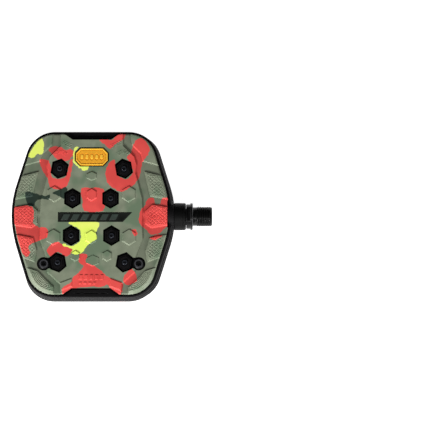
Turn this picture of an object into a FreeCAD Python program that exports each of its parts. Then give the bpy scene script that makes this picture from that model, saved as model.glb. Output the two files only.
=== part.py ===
import FreeCAD, Part
import math
import os
from types import SimpleNamespace

import Sketcher

# Left-hand flat bicycle pedal: a moulded platform with a rubber tread on both faces, turning on a steel
# spindle that screws into the crank.
#
# Frame, in millimetres: the origin is on the spindle's axis, at the face of its flange that seats on the
# crank. +X runs along the spindle towards the crank, +Y forwards and +Z up out of the top tread. A station
# is a distance from the origin measured away from the crank, so a station s lies at X = -s.
#
# The platform, its carriers and its treads are drawn about the platform's own centre. Both faces are alike:
# the bottom one is the top one turned half round about the spindle.

# The driving dimensions. Every length is in millimetres and every angle in degrees.
DIMENSIONS = {
    # The platform's outline: a hexagon with its widest corners on the spindle's axis.
    "platform_station": 72.35,
    "half_length": 60.8,
    "half_width": 60.5,
    "side_slope": 0.3057,
    "corner_radius": 21.1,
    "waist_radius": 74.5,
    "rim_height": 7.7,
    "rim_chamfer": 0.7,
    "lip_width": 1.2,
    "deck_height": 6.5,
    "flank_width": 2.6,
    "boss_face": 59.1,
    "boss_radius": 9.9,
    "boss_depth": 4.6,
    "boss_taper": 1.4,
    "barrel_radius": 8.5,
    "barrel_end": 42.5,
    # The bore, from the crank side: collar seat, long bearing bore and pocket for the lock nut.
    "collar_seat_radius": 8.02,
    "collar_seat_depth": 5.15,
    "bore_radius": 7.0,
    "nut_pocket_radius": 6.2,
    "nut_pocket_depth": 7.8,
    # Trapezoid notches in the treads, front and rear, with lands of the platform in them.
    "notch_half_width": 13.8,
    "notch_start": 54.5,
    "notch_end": 62.0,
    "notch_flare": 1.43,
    "land_gap": 0.4,
    "land_end": 60.0,
    # Tread and carrier.
    "tread_inset": 1.9,
    "carrier_inset": 1.6,
    "carrier_height": 7.7,
    "tread_height": 9.7,
    "tread_chamfer": 0.9,
    "lug_height": 10.3,
    "tread_boss_edge": 54.1,
    "barrel_clearance": 0.1,
    # Pins, in hexagonal openings that are taller than wide.
    "opening_half_width": 5.95,
    "opening_half_height": 7.65,
    "opening_side": 4.1,
    "seat_margin": 1.05,
    "seat_height": 8.9,
    "crown_margin": 2.2,
    "crown_height": 9.4,
    "seat_end_ratio": 1.15,
    "seat_side_ratio": 0.55,
    "pin_radius": 2.0,
    "pin_hole_radius": 2.02,
    "pin_bottom": 3.4,
    "pin_top": 10.4,
    "pin_point": 0.5,
    "pin_key_radius": 1.15,
    "pin_key_depth": 1.6,
    "front_pin_x": 23.0,
    "front_pin_y": 33.1,
    "front_pin_slant": 10.0,
    "midfront_pin_x": 13.6,
    "midfront_pin_y": 11.2,
    "midfront_pin_slant": 0.0,
    "midrear_pin_x": 14.4,
    "midrear_pin_y": -16.1,
    "midrear_pin_slant": 0.0,
    "rear_pin_x": 23.9,
    "rear_pin_y": -35.7,
    "rear_pin_slant": -10.0,
    # Tread screws.
    "screw_x": 33.8,
    "screw_y": -36.5,
    "screw_recess_radius": 4.9,
    "screw_head_radius": 3.8,
    "screw_head_height": 1.6,
    "screw_head_round": 1.1,
    "screw_shank_radius": 2.0,
    "screw_hole_radius": 2.02,
    "screw_clearance_radius": 2.2,
    "screw_length": 7.6,
    "screw_key_radius": 1.95,
    "screw_key_depth": 1.1,
    "screw_key_valley": 0.72,
    # Badge and centre strip, let into the tread.
    "badge_y": 41.8,
    "badge_half_width": 12.2,
    "badge_half_height": 7.0,
    "badge_shoulder": 7.6,
    "badge_shoulder_ratio": 0.6,
    "badge_bottom": 8.6,
    "badge_top": 10.1,
    "badge_border": 1.0,
    "badge_sink": 0.4,
    "strip_left": -23.8,
    "strip_right": 28.9,
    "strip_top": 1.0,
    "strip_bottom": -6.0,
    "strip_rake": 6.5,
    "strip_floor": 9.2,
    "strip_height": 9.8,
    "inlay_gap": 0.15,
    # Spindle, from the crank end inwards.
    "thread_radius": 7.14,
    "thread_end": 13.9,
    "thread_start": 2.7,
    "thread_chamfer": 1.0,
    "relief_radius": 6.7,
    "flange_radius": 9.65,
    "flange_station": 1.9,
    "flange_chamfer": 0.3,
    "neck_radius": 8.85,
    "neck_station": 4.6,
    "flats_half_width": 7.5,
    "journal_radius": 6.0,
    "journal_station": 31.0,
    "shaft_radius": 5.0,
    "taper_station": 84.0,
    "spindle_seat_radius": 3.99,
    "spindle_end": 108.9,
    "spindle_end_chamfer": 0.5,
    "key_half_width": 4.0,
    "key_depth": 9.0,
    # Collar nut, its O-ring, the lip seal and the bushing.
    "collar_station": 4.9,
    "collar_radius": 9.75,
    "collar_chamfer": 1.0,
    "collar_bore_radius": 6.3,
    "collar_shank_radius": 8.0,
    "collar_shank_length": 4.15,
    "seal_seat_radius": 8.2,
    "seal_seat_depth": 3.2,
    "ring_groove_inner": 8.2,
    "ring_groove_outer": 9.3,
    "ring_groove_depth": 1.0,
    "ring_section_radius": 0.49,
    "seal_inner_radius": 6.05,
    "seal_outer_radius": 8.15,
    "seal_width": 2.9,
    "seal_lip": 0.7,
    "bushing_inner_radius": 6.04,
    "bushing_flange_radius": 7.95,
    "bushing_flange": 1.0,
    "bushing_length": 12.0,
    # Bearings: 8 x 14 x 4, with a spacer between them and a long spacer sleeve from the bushing.
    "fit_gap": 0.02,
    "bearing_station": 91.2,
    "bearing_width": 4.0,
    "bearing_spacing": 8.0,
    "race_inner_radius": 4.0,
    "race_inner_shoulder": 4.9,
    "race_outer_shoulder": 6.1,
    "ball_pitch_radius": 5.5,
    "ball_radius": 1.0,
    "ball_gap": 0.04,
    "cage_half_width": 1.2,
    "cage_half_height": 0.35,
    "shield_inset": 0.15,
    "shield_thickness": 0.3,
    "shield_inner_radius": 5.0,
    "inner_spacer_radius": 4.7,
    "sleeve_inner_radius": 6.35,
    "washer_radius": 5.4,
    "washer_thickness": 0.8,
    "nut_half_width": 5.0,
    "nut_thickness": 4.0,
    # Pockets that lighten the platform, between its ribs.
    "web_half_thickness": 1.0,
}

BALLS = 10
KEY_STAR_CORNERS = 12
HEXAGON_HALF_ANGLE = math.radians(30)
PIN_ROWS = ("front", "midfront", "midrear", "rear")
LUGS = (  # centre x, centre y, half width and half height of the raised hexagons on one half of a tread
    (26.6, 14.4, 5.1, 6.3),
    (27.0, -17.3, 5.1, 6.3),
    (11.3, -31.0, 3.6, 4.4),
)
MIDDLE_LUGS = ((0.0, 13.8, 3.8, 5.0), (0.0, -17.3, 4.2, 5.4), (0.0, 27.6, 3.8, 3.6))
RIB_POCKETS = (  # left, right, rear and front edge of the pockets on one half of the platform
    (1.2, 10.5, 19.5, 50.0),
    (13.0, 20.5, 43.5, 55.0),
    (23.0, 33.5, 43.5, 54.0),
    (32.5, 40.5, 11.5, 41.0),
    (42.5, 47.0, 11.5, 32.0),
    (22.5, 31.5, 10.5, 23.5),
    (22.0, 31.5, -27.0, -10.5),
    (33.5, 39.0, -29.5, -10.5),
    (41.0, 47.0, -31.0, -10.5),
    (1.2, 7.0, -51.0, -10.5),
    (9.0, 16.5, -51.5, -25.0),
    (18.5, 30.5, -55.0, -45.0),
)


class Size:
    """A number with the spreadsheet expression that gives it."""

    def __init__(self, value, text):
        self.value = float(value)
        self.text = text

    def __add__(self, other):
        other = as_size(other)
        return Size(self.value + other.value, f"({self.text} + {other.text})")

    def __sub__(self, other):
        other = as_size(other)
        return Size(self.value - other.value, f"({self.text} - {other.text})")

    def __mul__(self, other):
        other = as_size(other)
        return Size(self.value * other.value, f"({self.text} * {other.text})")

    def __truediv__(self, other):
        other = as_size(other)
        return Size(self.value / other.value, f"({self.text} / {other.text})")

    def __neg__(self):
        return Size(-self.value, f"(-{self.text})")


def as_size(thing):
    return thing if isinstance(thing, Size) else Size(thing, f"({float(thing)!r})")


def root(size):
    return Size(math.sqrt(size.value), f"sqrt({size.text})")


def cosine(size):
    return Size(math.cos(math.radians(size.value)), f"cos({size.text} * 1 deg)")


def sine(size):
    return Size(math.sin(math.radians(size.value)), f"sin({size.text} * 1 deg)")


document = FreeCAD.newDocument("FlatPedal")
sheet = document.addObject("Spreadsheet::Sheet", "sizes")
for row, (alias, number) in enumerate(DIMENSIONS.items(), start=1):
    sheet.set(f"A{row}", alias)
    sheet.set(f"B{row}", repr(number))
    sheet.setAlias(f"B{row}", alias)
document.recompute()
size = SimpleNamespace(**{alias: Size(number, f"sizes.{alias}") for alias, number in DIMENSIONS.items()})
ZERO = as_size(0)
nodes = []


# Sketches: every point and radius is tied to the sheet.


def origin_part(body, role):
    return next(part for part in body.Origin.OriginFeatures if part.Role == role)


def new_sketch(body, role, height=None):
    """A sketch on one of the body's origin planes, or at a height above it."""
    sketch = body.newObject("Sketcher::SketchObject", body.Name + "_sketch")
    sketch.AttachmentSupport = [(origin_part(body, role), "")]
    sketch.MapMode = "FlatFace"
    if height is not None:
        sketch.setExpression("AttachmentOffset.Base.z", height.text)
    return sketch


def tie(sketch, kind, places, wanted):
    index = sketch.addConstraint(Sketcher.Constraint(kind, *places, wanted.value))
    sketch.setExpression(f"Constraints[{index}]", wanted.text)


def tie_point(sketch, geometry, end, x, y):
    tie(sketch, "DistanceX", (-1, 1, geometry, end), as_size(x))
    tie(sketch, "DistanceY", (-1, 1, geometry, end), as_size(y))


def draw_polygon(sketch, points):
    corners = [FreeCAD.Vector(as_size(x).value, as_size(y).value, 0) for x, y in points]
    first, count = sketch.GeometryCount, len(corners)
    for i, corner in enumerate(corners):
        sketch.addGeometry(Part.LineSegment(corner, corners[(i + 1) % count]))
    for i in range(count):
        ends = (first + i, 2, first + (i + 1) % count, 1)
        sketch.addConstraint(Sketcher.Constraint("Coincident", *ends))
    for i, (x, y) in enumerate(points):
        tie_point(sketch, first + i, 1, x, y)


def draw_circle(sketch, x, y, radius):
    middle = FreeCAD.Vector(as_size(x).value, as_size(y).value, 0)
    circle = Part.Circle(middle, FreeCAD.Vector(0, 0, 1), radius.value)
    index = sketch.addGeometry(circle)
    tie_point(sketch, index, 3, x, y)
    tie(sketch, "Radius", (index,), radius)


def draw_rounded_polygon(sketch, points, radii):
    """A clockwise polygon with each corner rounded; its sharp corners stay as construction points."""
    corners = [FreeCAD.Vector(x.value, y.value, 0) for x, y in points]
    count = len(corners)
    starts, ends, arcs = [], [], []
    for i, corner in enumerate(corners):
        back = (corners[i - 1] - corner).normalize()
        ahead = (corners[(i + 1) % count] - corner).normalize()
        half_angle = back.getAngle(ahead) / 2
        reach = radii[i].value / math.tan(half_angle)
        middle = corner + (back + ahead).normalize() * (radii[i].value / math.sin(half_angle))
        inward = (corner - middle).normalize() * radii[i].value
        arcs.append(Part.Arc(corner + back * reach, middle + inward, corner + ahead * reach))
        ends.append(corner + back * reach)
        starts.append(corner + ahead * reach)
    first = sketch.GeometryCount
    for i in range(count):
        sketch.addGeometry(Part.LineSegment(starts[i], ends[(i + 1) % count]))
        sketch.addGeometry(arcs[(i + 1) % count])
        sketch.addGeometry(Part.Point(corners[(i + 1) % count]), True)
    for i in range(count):
        line, arc, point = first + 3 * i, first + 3 * i + 1, first + 3 * i + 2
        after = first + 3 * ((i + 1) % count)
        # A clockwise arc is stored counter-clockwise, so its second end meets the line before it.
        sketch.addConstraint(Sketcher.Constraint("Tangent", line, 2, arc, 2))
        sketch.addConstraint(Sketcher.Constraint("Tangent", after, 1, arc, 1))
        sketch.addConstraint(Sketcher.Constraint("PointOnObject", point, 1, line))
        sketch.addConstraint(Sketcher.Constraint("PointOnObject", point, 1, after))
        tie(sketch, "Radius", (arc,), radii[(i + 1) % count])
        tie_point(sketch, point, 1, *points[(i + 1) % count])


def draw_outline(sketch, inset=ZERO):
    """The platform's outline, moved inwards all round by the inset."""
    length = size.half_length - inset
    width = size.half_width - inset * root(size.side_slope * size.side_slope + 1)
    corner = width - length * size.side_slope
    points = ((-corner, length), (corner, length), (width, ZERO))
    points += ((corner, -length), (-corner, -length), (-width, ZERO))
    turn, waist = size.corner_radius - inset, size.waist_radius - inset
    draw_rounded_polygon(sketch, points, (turn, turn, waist, turn, turn, waist))


def regular_hexagon(x, y, half_width):
    """Corners of a regular hexagon that stands on a point."""
    reach = half_width / math.cos(HEXAGON_HALF_ANGLE)
    return hexagon(x, y, half_width, reach, reach / 2)


def lug_hexagon(x, y, half_width, half_height):
    """Corners of a tread lug, whose sides are half as long as it is tall."""
    return hexagon(x, y, as_size(half_width), as_size(half_height), as_size(half_height / 2))


def hexagon(x, y, half_width, half_height, side, slant=ZERO):
    """Corners of a hexagon that stands on a point, turned by its slant."""
    local = ((ZERO, half_height), (half_width, side), (half_width, -side))
    local += ((ZERO, -half_height), (-half_width, -side), (-half_width, side))
    across, up = cosine(slant), sine(slant)
    return [(as_size(x) + across * u - up * v, as_size(y) + up * u + across * v) for u, v in local]


def pin_hexagon(name, margin=ZERO):
    place = [getattr(size, f"{name}_pin_{key}") for key in ("x", "y", "slant")]
    half_width = size.opening_half_width - margin
    half_height = size.opening_half_height - margin * size.seat_end_ratio
    side = size.opening_side - margin * size.seat_side_ratio
    return hexagon(place[0], place[1], half_width, half_height, side, place[2])


def badge_outline(margin=ZERO):
    wide, tall = size.badge_half_width + margin, size.badge_half_height + margin
    shoulder, y = size.badge_shoulder + margin * size.badge_shoulder_ratio, size.badge_y
    points = ((-wide, y), (-shoulder, y + tall), (shoulder, y + tall))
    return points + ((wide, y), (shoulder, y - tall), (-shoulder, y - tall))


def strip_outline(margin=ZERO):
    left, right = size.strip_left - margin, size.strip_right + margin
    top, bottom = size.strip_top + margin, size.strip_bottom - margin
    return ((left, top), (right, top), (right - size.strip_rake, bottom), (left, bottom))


def notch(gap, end, sign):
    """A trapezoid that widens towards the front (sign 1) or the rear (sign -1) edge."""
    inner, start = size.notch_half_width - gap, size.notch_start + gap
    outer = inner + (end - start) * size.notch_flare
    return ((-inner, start * sign), (inner, start * sign), (outer, end * sign), (-outer, end * sign))


# Features


def new_body(node, station=None):
    body = document.addObject("PartDesign::Body", node)
    body.Label = node
    body.AllowCompound = True
    if station is not None:
        body.setExpression("Placement.Base.x", f"-{station.text}")
    nodes.append(body)
    return body


def feature(body, kind, profile=None, **settings):
    """Adds a feature and recomputes it; a Size is bound to the sheet, anything else is set."""
    made = body.newObject(f"PartDesign::{kind}", f"{body.Name}_{kind}")
    if profile is not None:
        made.Profile = profile
        profile.Visibility = False
    for name, value in settings.items():
        if isinstance(value, Size):
            made.setExpression(name, value.text)
        else:
            setattr(made, name, value)
    body.Tip = made
    document.recompute()
    return made


def cut(body, kind, profile, **settings):
    """A feature that has to remove material."""
    before = body.Shape.Volume
    made = feature(body, kind, profile, **settings)
    if not body.Shape.Volume < before - 1e-6:
        raise RuntimeError(f"{made.Name} removes nothing")
    return made


def on_both_faces(body, made):
    """Repeats a feature across the platform's middle, and on the other face."""
    repeat = body.newObject("PartDesign::MultiTransform", body.Name + "_faces")
    mirrored = body.newObject("PartDesign::Mirrored", body.Name + "_mirror")
    mirrored.MirrorPlane = (origin_part(body, "YZ_Plane"), [""])
    turned_over = body.newObject("PartDesign::PolarPattern", body.Name + "_turn")
    turned_over.Axis = (origin_part(body, "X_Axis"), [""])
    turned_over.Angle = 360
    turned_over.Occurrences = 2
    repeat.Originals = [made]
    repeat.Transformations = [mirrored, turned_over]
    body.Tip = repeat
    document.recompute()


def mirrored(body, made):
    """Repeats a feature across the platform's middle."""
    repeat = body.newObject("PartDesign::Mirrored", body.Name + "_mirror")
    repeat.MirrorPlane = (origin_part(body, "YZ_Plane"), [""])
    repeat.Originals = [made]
    body.Tip = repeat
    document.recompute()


def around_spindle(body, made, count):
    repeat = body.newObject("PartDesign::PolarPattern", body.Name + "_ring")
    repeat.Axis = (origin_part(body, "X_Axis"), [""])
    repeat.Angle = 360
    repeat.Occurrences = count
    repeat.Originals = [made]
    body.Tip = repeat
    document.recompute()


def level_edges(shape, height):
    """Names of the edges that lie at a height."""
    return [
        f"Edge{i}"
        for i, edge in enumerate(shape.Edges, start=1)
        if max(abs(vertex.Z - height) for vertex in edge.Vertexes) < 1e-6
    ]


def turned(node, station, *profiles):
    """A piece turned about the spindle's axis. A profile's points are (x, radius) from its station."""
    body = new_body(node, station)
    sketch = new_sketch(body, "XZ_Plane")
    for profile in profiles:
        draw_polygon(sketch, profile)
    feature(body, "Revolution", sketch, ReferenceAxis=(sketch, ["H_Axis"]), Angle=360)
    return body


def ring(start, width, inner, outer):
    """The profile of a plain ring, from its start towards the far end of the spindle."""
    end = -(as_size(start) + width)
    start = -as_size(start)
    return ((start, inner), (start, outer), (end, outer), (end, inner))


# The platform


def make_platform():
    body = new_body("platform_body", size.platform_station)

    outline = new_sketch(body, "XY_Plane")
    draw_outline(outline)
    core = feature(body, "Pad", outline, Midplane=True, Length=size.rim_height * 2)
    edges = level_edges(core.Shape, size.rim_height.value) + level_edges(core.Shape, -size.rim_height.value)
    feature(body, "Chamfer", Base=(core, edges), Size=size.rim_chamfer)

    # The flank on the crank side leans out to a ridge at mid height.
    ridge = new_sketch(body, "XY_Plane")
    ridge.setExpression("AttachmentOffset.Base.x", size.flank_width.text)
    draw_outline(ridge)
    for side in (1, -1):
        slope = FreeCAD.Vector(-size.flank_width.value, 0, side * size.rim_height.value)
        leaning = {"UseCustomVector": True, "Direction": slope, "AlongSketchNormal": True}
        feature(body, "Pad", ridge, Length=size.rim_height, **leaning)
    trim = new_sketch(body, "XY_Plane")
    edge, beyond = size.boss_face, size.boss_face + size.flank_width * 2
    draw_polygon(trim, ((edge, size.half_length), (beyond, size.half_length), (beyond, -size.half_length),
                        (edge, -size.half_length)))
    cut(body, "Pocket", trim, Midplane=True, Length=size.rim_height * 3)

    # Rims stand round a lower deck on both faces, with a land at the front and at the rear.
    deck = new_sketch(body, "XY_Plane", size.rim_height)
    draw_outline(deck, size.lip_width)
    sunk = cut(body, "Pocket", deck, Length=size.rim_height - size.deck_height)
    on_both_faces(body, sunk)
    lands = new_sketch(body, "XY_Plane", size.deck_height)
    for sign in (1, -1):
        draw_polygon(lands, notch(size.land_gap, size.land_end, sign))
    raised = feature(body, "Pad", lands, Length=size.rim_height - size.deck_height)
    on_both_faces(body, raised)

    pockets = new_sketch(body, "XY_Plane", size.deck_height)
    for left, right, rear, front in RIB_POCKETS:
        draw_polygon(pockets, ((left, rear), (right, rear), (right, front), (left, front)))
    hollow = cut(body, "Pocket", pockets, Length=size.deck_height - size.web_half_thickness)
    on_both_faces(body, hollow)

    # The barrel for the bearings, with a wider boss where the collar seats.
    barrel = new_sketch(body, "XZ_Plane")
    shoulder = size.boss_face - size.boss_depth
    draw_polygon(barrel, (
        (size.boss_face, ZERO), (size.boss_face, size.boss_radius), (shoulder, size.boss_radius),
        (shoulder - size.boss_taper, size.barrel_radius), (-size.barrel_end, size.barrel_radius),
        (-size.barrel_end, ZERO),
    ))
    feature(body, "Revolution", barrel, ReferenceAxis=(barrel, ["H_Axis"]), Angle=360)

    seats = new_sketch(body, "XY_Plane", size.deck_height)
    crowns = new_sketch(body, "XY_Plane", size.deck_height)
    holes = new_sketch(body, "XY_Plane", size.crown_height)
    for name in PIN_ROWS:
        draw_polygon(seats, pin_hexagon(name, size.seat_margin))
        draw_polygon(crowns, pin_hexagon(name, size.crown_margin))
        x, y = getattr(size, f"{name}_pin_x"), getattr(size, f"{name}_pin_y")
        draw_circle(holes, x, y, size.pin_hole_radius)
    on_both_faces(body, feature(body, "Pad", seats, Length=size.seat_height - size.deck_height))
    on_both_faces(body, feature(body, "Pad", crowns, Length=size.crown_height - size.deck_height))
    on_both_faces(body, cut(body, "Pocket", holes, Length=size.crown_height - size.pin_bottom))

    tapped = new_sketch(body, "XY_Plane", size.deck_height)
    draw_circle(tapped, size.screw_x, size.screw_y, size.screw_hole_radius)
    depth = size.screw_length - size.carrier_height + size.deck_height
    on_both_faces(body, cut(body, "Pocket", tapped, Length=depth))

    bore = new_sketch(body, "XZ_Plane")
    mouth = size.boss_face
    seat_end = mouth - size.collar_seat_depth
    bearing_end = size.platform_station - size.bearing_station - size.bearing_spacing - size.bearing_width
    pocket_end = bearing_end - size.nut_pocket_depth
    draw_polygon(bore, (
        (mouth, ZERO), (mouth, size.collar_seat_radius), (seat_end, size.collar_seat_radius),
        (seat_end, size.bore_radius), (bearing_end, size.bore_radius),
        (bearing_end, size.nut_pocket_radius), (pocket_end, size.nut_pocket_radius), (pocket_end, ZERO),
    ))
    cut(body, "Groove", bore, ReferenceAxis=(bore, ["H_Axis"]), Angle=360)


def turn_over(body, over):
    """Puts a piece on the bottom face, half a turn about the spindle from the top one."""
    if over:
        half_turn = FreeCAD.Rotation(FreeCAD.Vector(1, 0, 0), 180)
        body.Placement = FreeCAD.Placement(body.Placement.Base, half_turn)
        body.setExpression("Placement.Base.x", f"-{size.platform_station.text}")


def cut_barrel_groove(body):
    """Clears the underside of a carrier or tread over the barrel and its boss."""
    groove = new_sketch(body, "XZ_Plane")
    outer = size.boss_radius + size.barrel_clearance
    inner = size.barrel_radius + size.barrel_clearance
    shoulder = size.boss_face - size.boss_depth - size.barrel_clearance
    end = -size.barrel_end - size.barrel_clearance
    draw_polygon(groove, (
        (size.boss_face, ZERO), (size.boss_face, outer), (shoulder, outer),
        (shoulder - size.boss_taper, inner), (end, inner), (end, ZERO),
    ))
    cut(body, "Groove", groove, ReferenceAxis=(groove, ["H_Axis"]), Angle=360)


def trim_layer(body, height, screw_radius):
    """Cuts a layer's notches, pin openings, screw holes and crank-side edge, from a height above it."""
    through = size.lug_height
    ends = new_sketch(body, "XY_Plane", height)
    for sign in (1, -1):
        draw_polygon(ends, notch(ZERO, size.notch_end, sign))
    edge, beyond = size.tread_boss_edge, size.boss_face
    half = size.boss_radius
    draw_polygon(ends, ((edge, half), (beyond, half), (beyond, -half), (edge, -half)))
    cut(body, "Pocket", ends, Length=through)

    openings = new_sketch(body, "XY_Plane", height)
    for name in PIN_ROWS:
        draw_polygon(openings, pin_hexagon(name))
    mirrored(body, cut(body, "Pocket", openings, Length=through))
    screws = new_sketch(body, "XY_Plane", height)
    draw_circle(screws, size.screw_x, size.screw_y, screw_radius)
    mirrored(body, cut(body, "Pocket", screws, Length=through))


def make_carrier(face, over):
    """The stiff plate that a tread is moulded onto, held down by the two tread screws."""
    body = new_body(f"{face}_tread_carrier", size.platform_station)
    plate = new_sketch(body, "XY_Plane", size.deck_height)
    draw_outline(plate, size.carrier_inset)
    feature(body, "Pad", plate, Length=size.carrier_height - size.deck_height)
    trim_layer(body, size.carrier_height, size.screw_clearance_radius)
    cut_barrel_groove(body)
    turn_over(body, over)


def make_tread(face, over):
    """The rubber tread, with its raised hexagons and the seats for the badge and the strip."""
    body = new_body(f"{face}_tread", size.platform_station)
    slab = new_sketch(body, "XY_Plane", size.carrier_height)
    draw_outline(slab, size.tread_inset)
    plain = feature(body, "Pad", slab, Length=size.tread_height - size.carrier_height)
    edges = level_edges(plain.Shape, size.tread_height.value)
    feature(body, "Chamfer", Base=(plain, edges), Size=size.tread_chamfer)

    lugs = new_sketch(body, "XY_Plane", size.tread_height)
    middle = new_sketch(body, "XY_Plane", size.tread_height)
    for x, y, half_width, half_height in LUGS:
        draw_polygon(lugs, lug_hexagon(x, y, half_width, half_height))
    for x, y, half_width, half_height in MIDDLE_LUGS:
        draw_polygon(middle, lug_hexagon(x, y, half_width, half_height))
    rise = size.lug_height - size.tread_height
    mirrored(body, feature(body, "Pad", lugs, Length=rise))
    feature(body, "Pad", middle, Length=rise)

    badge_seat = new_sketch(body, "XY_Plane", size.lug_height)
    draw_polygon(badge_seat, badge_outline(size.inlay_gap))
    cut(body, "Pocket", badge_seat, Length=size.lug_height - size.badge_bottom)
    strip_seat = new_sketch(body, "XY_Plane", size.lug_height)
    draw_polygon(strip_seat, strip_outline(size.inlay_gap))
    cut(body, "Pocket", strip_seat, Length=size.lug_height - size.strip_floor)

    trim_layer(body, size.lug_height, size.screw_recess_radius)
    cut_barrel_groove(body)
    turn_over(body, over)


def make_badge(face, over):
    body = new_body(f"{face}_badge", size.platform_station)
    plate = new_sketch(body, "XY_Plane", size.badge_bottom)
    draw_polygon(plate, badge_outline())
    feature(body, "Pad", plate, Length=size.badge_top - size.badge_bottom)
    field = new_sketch(body, "XY_Plane", size.badge_top)
    draw_polygon(field, badge_outline(-size.badge_border))
    cut(body, "Pocket", field, Length=size.badge_sink)
    turn_over(body, over)


def make_strip(face, over):
    body = new_body(f"{face}_centre_strip", size.platform_station)
    bar = new_sketch(body, "XY_Plane", size.strip_floor)
    draw_polygon(bar, strip_outline())
    feature(body, "Pad", bar, Length=size.strip_height - size.strip_floor)
    turn_over(body, over)


def make_screws(face, over):
    """Two button-head screws with a hexalobular socket, drawn as a twelve-cornered star."""
    body = new_body(f"{face}_tread_screws", size.platform_station)
    shank = new_sketch(body, "XY_Plane", size.carrier_height)
    head = new_sketch(body, "XY_Plane", size.carrier_height)
    for sign in (1, -1):
        draw_circle(shank, size.screw_x * sign, size.screw_y, size.screw_shank_radius)
        draw_circle(head, size.screw_x * sign, size.screw_y, size.screw_head_radius)
    feature(body, "Pad", head, Length=size.screw_head_height)
    top = size.carrier_height + size.screw_head_height
    edges = level_edges(body.Shape, top.value)
    feature(body, "Fillet", Base=(body.Tip, edges), Radius=size.screw_head_round)
    feature(body, "Pad", shank, Length=size.screw_length, Reversed=True)
    socket = new_sketch(body, "XY_Plane", top)
    reaches = (size.screw_key_radius, size.screw_key_radius * size.screw_key_valley)
    for sign in (1, -1):
        star = []
        for i in range(KEY_STAR_CORNERS):
            reach = reaches[i % 2]
            angle = math.tau * i / KEY_STAR_CORNERS
            x = size.screw_x * sign + reach * math.cos(angle)
            star.append((x, size.screw_y + reach * math.sin(angle)))
        draw_polygon(socket, star)
    cut(body, "Pocket", socket, Length=size.screw_key_depth)
    turn_over(body, over)


def make_pins(face, over):
    """Eight grip pins: grub screws set from the tread side, with a hexagon socket in the point."""
    body = new_body(f"{face}_grip_pins", size.platform_station)
    rods = new_sketch(body, "XY_Plane", size.pin_bottom)
    sockets = new_sketch(body, "XY_Plane", size.pin_top)
    key_half_width = size.pin_key_radius * math.cos(HEXAGON_HALF_ANGLE)
    for name in PIN_ROWS:
        x, y = getattr(size, f"{name}_pin_x"), getattr(size, f"{name}_pin_y")
        for sign in (1, -1):
            draw_circle(rods, x * sign, y, size.pin_radius)
            draw_polygon(sockets, regular_hexagon(x * sign, y, key_half_width))
    rods_pad = feature(body, "Pad", rods, Length=size.pin_top - size.pin_bottom)
    edges = level_edges(rods_pad.Shape, size.pin_top.value)
    feature(body, "Chamfer", Base=(rods_pad, edges), Size=size.pin_point)
    cut(body, "Pocket", sockets, Length=size.pin_key_depth)
    turn_over(body, over)


# The spindle and what turns about it


def make_spindle():
    tip = size.thread_end
    seat = size.bearing_station
    body = turned("spindle", ZERO, (
        (tip, ZERO), (tip, size.thread_radius - size.thread_chamfer),
        (tip - size.thread_chamfer, size.thread_radius), (size.thread_start, size.thread_radius),
        (size.thread_start, size.relief_radius), (ZERO, size.relief_radius),
        (ZERO, size.flange_radius - size.flange_chamfer), (-size.flange_chamfer, size.flange_radius),
        (size.flange_chamfer - size.flange_station, size.flange_radius),
        (-size.flange_station, size.flange_radius - size.flange_chamfer),
        (-size.flange_station, size.neck_radius), (-size.neck_station, size.neck_radius),
        (-size.neck_station, size.journal_radius), (-size.journal_station, size.journal_radius),
        (-size.taper_station, size.shaft_radius), (-seat, size.shaft_radius),
        (-seat, size.spindle_seat_radius),
        (size.spindle_end_chamfer - size.spindle_end, size.spindle_seat_radius),
        (-size.spindle_end, size.spindle_seat_radius - size.spindle_end_chamfer), (-size.spindle_end, ZERO),
    ))
    key = new_sketch(body, "YZ_Plane", size.thread_end)
    draw_polygon(key, regular_hexagon(ZERO, ZERO, size.key_half_width))
    cut(body, "Pocket", key, Length=size.key_depth)

    # Two flats on the neck take a 15 mm pedal spanner.
    flats = new_sketch(body, "YZ_Plane", -size.flange_station)
    wide = size.neck_radius + size.flange_chamfer
    for sign in (1, -1):
        low, high = size.flats_half_width * sign, wide * sign
        draw_polygon(flats, ((-wide, low), (wide, low), (wide, high), (-wide, high)))
    cut(body, "Pocket", flats, Length=size.neck_station - size.flange_station)


def make_collar():
    """The nut that closes the platform's bore, with seats for the lip seal and the O-ring."""
    station = size.collar_station
    length = size.platform_station - size.boss_face - station
    end = length + size.collar_shank_length
    turned("collar_nut", station, (
        (ZERO, size.seal_seat_radius), (ZERO, size.collar_radius - size.collar_chamfer),
        (-size.collar_chamfer, size.collar_radius), (-length, size.collar_radius),
        (-length, size.ring_groove_outer), (size.ring_groove_depth - length, size.ring_groove_outer),
        (size.ring_groove_depth - length, size.ring_groove_inner), (-length, size.ring_groove_inner),
        (-length, size.collar_shank_radius), (-end, size.collar_shank_radius),
        (-end, size.collar_bore_radius), (-size.seal_seat_depth, size.collar_bore_radius),
        (-size.seal_seat_depth, size.seal_seat_radius),
    ))
    lip = size.seal_lip
    turned("spindle_lip_seal", station + size.inlay_gap, (
        (ZERO, size.seal_inner_radius + lip), (ZERO, size.seal_outer_radius),
        (-size.seal_width, size.seal_outer_radius), (-size.seal_width, size.seal_inner_radius + lip),
        (-size.seal_width + lip, size.seal_inner_radius), (-lip, size.seal_inner_radius),
    ))
    seal = new_body("collar_o_ring", size.platform_station - size.boss_face - size.ring_groove_depth / 2)
    section = new_sketch(seal, "XZ_Plane")
    middle = (size.ring_groove_inner + size.ring_groove_outer) / 2
    draw_circle(section, ZERO, middle, size.ring_section_radius)
    feature(seal, "Revolution", section, ReferenceAxis=(section, ["H_Axis"]), Angle=360)


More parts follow.
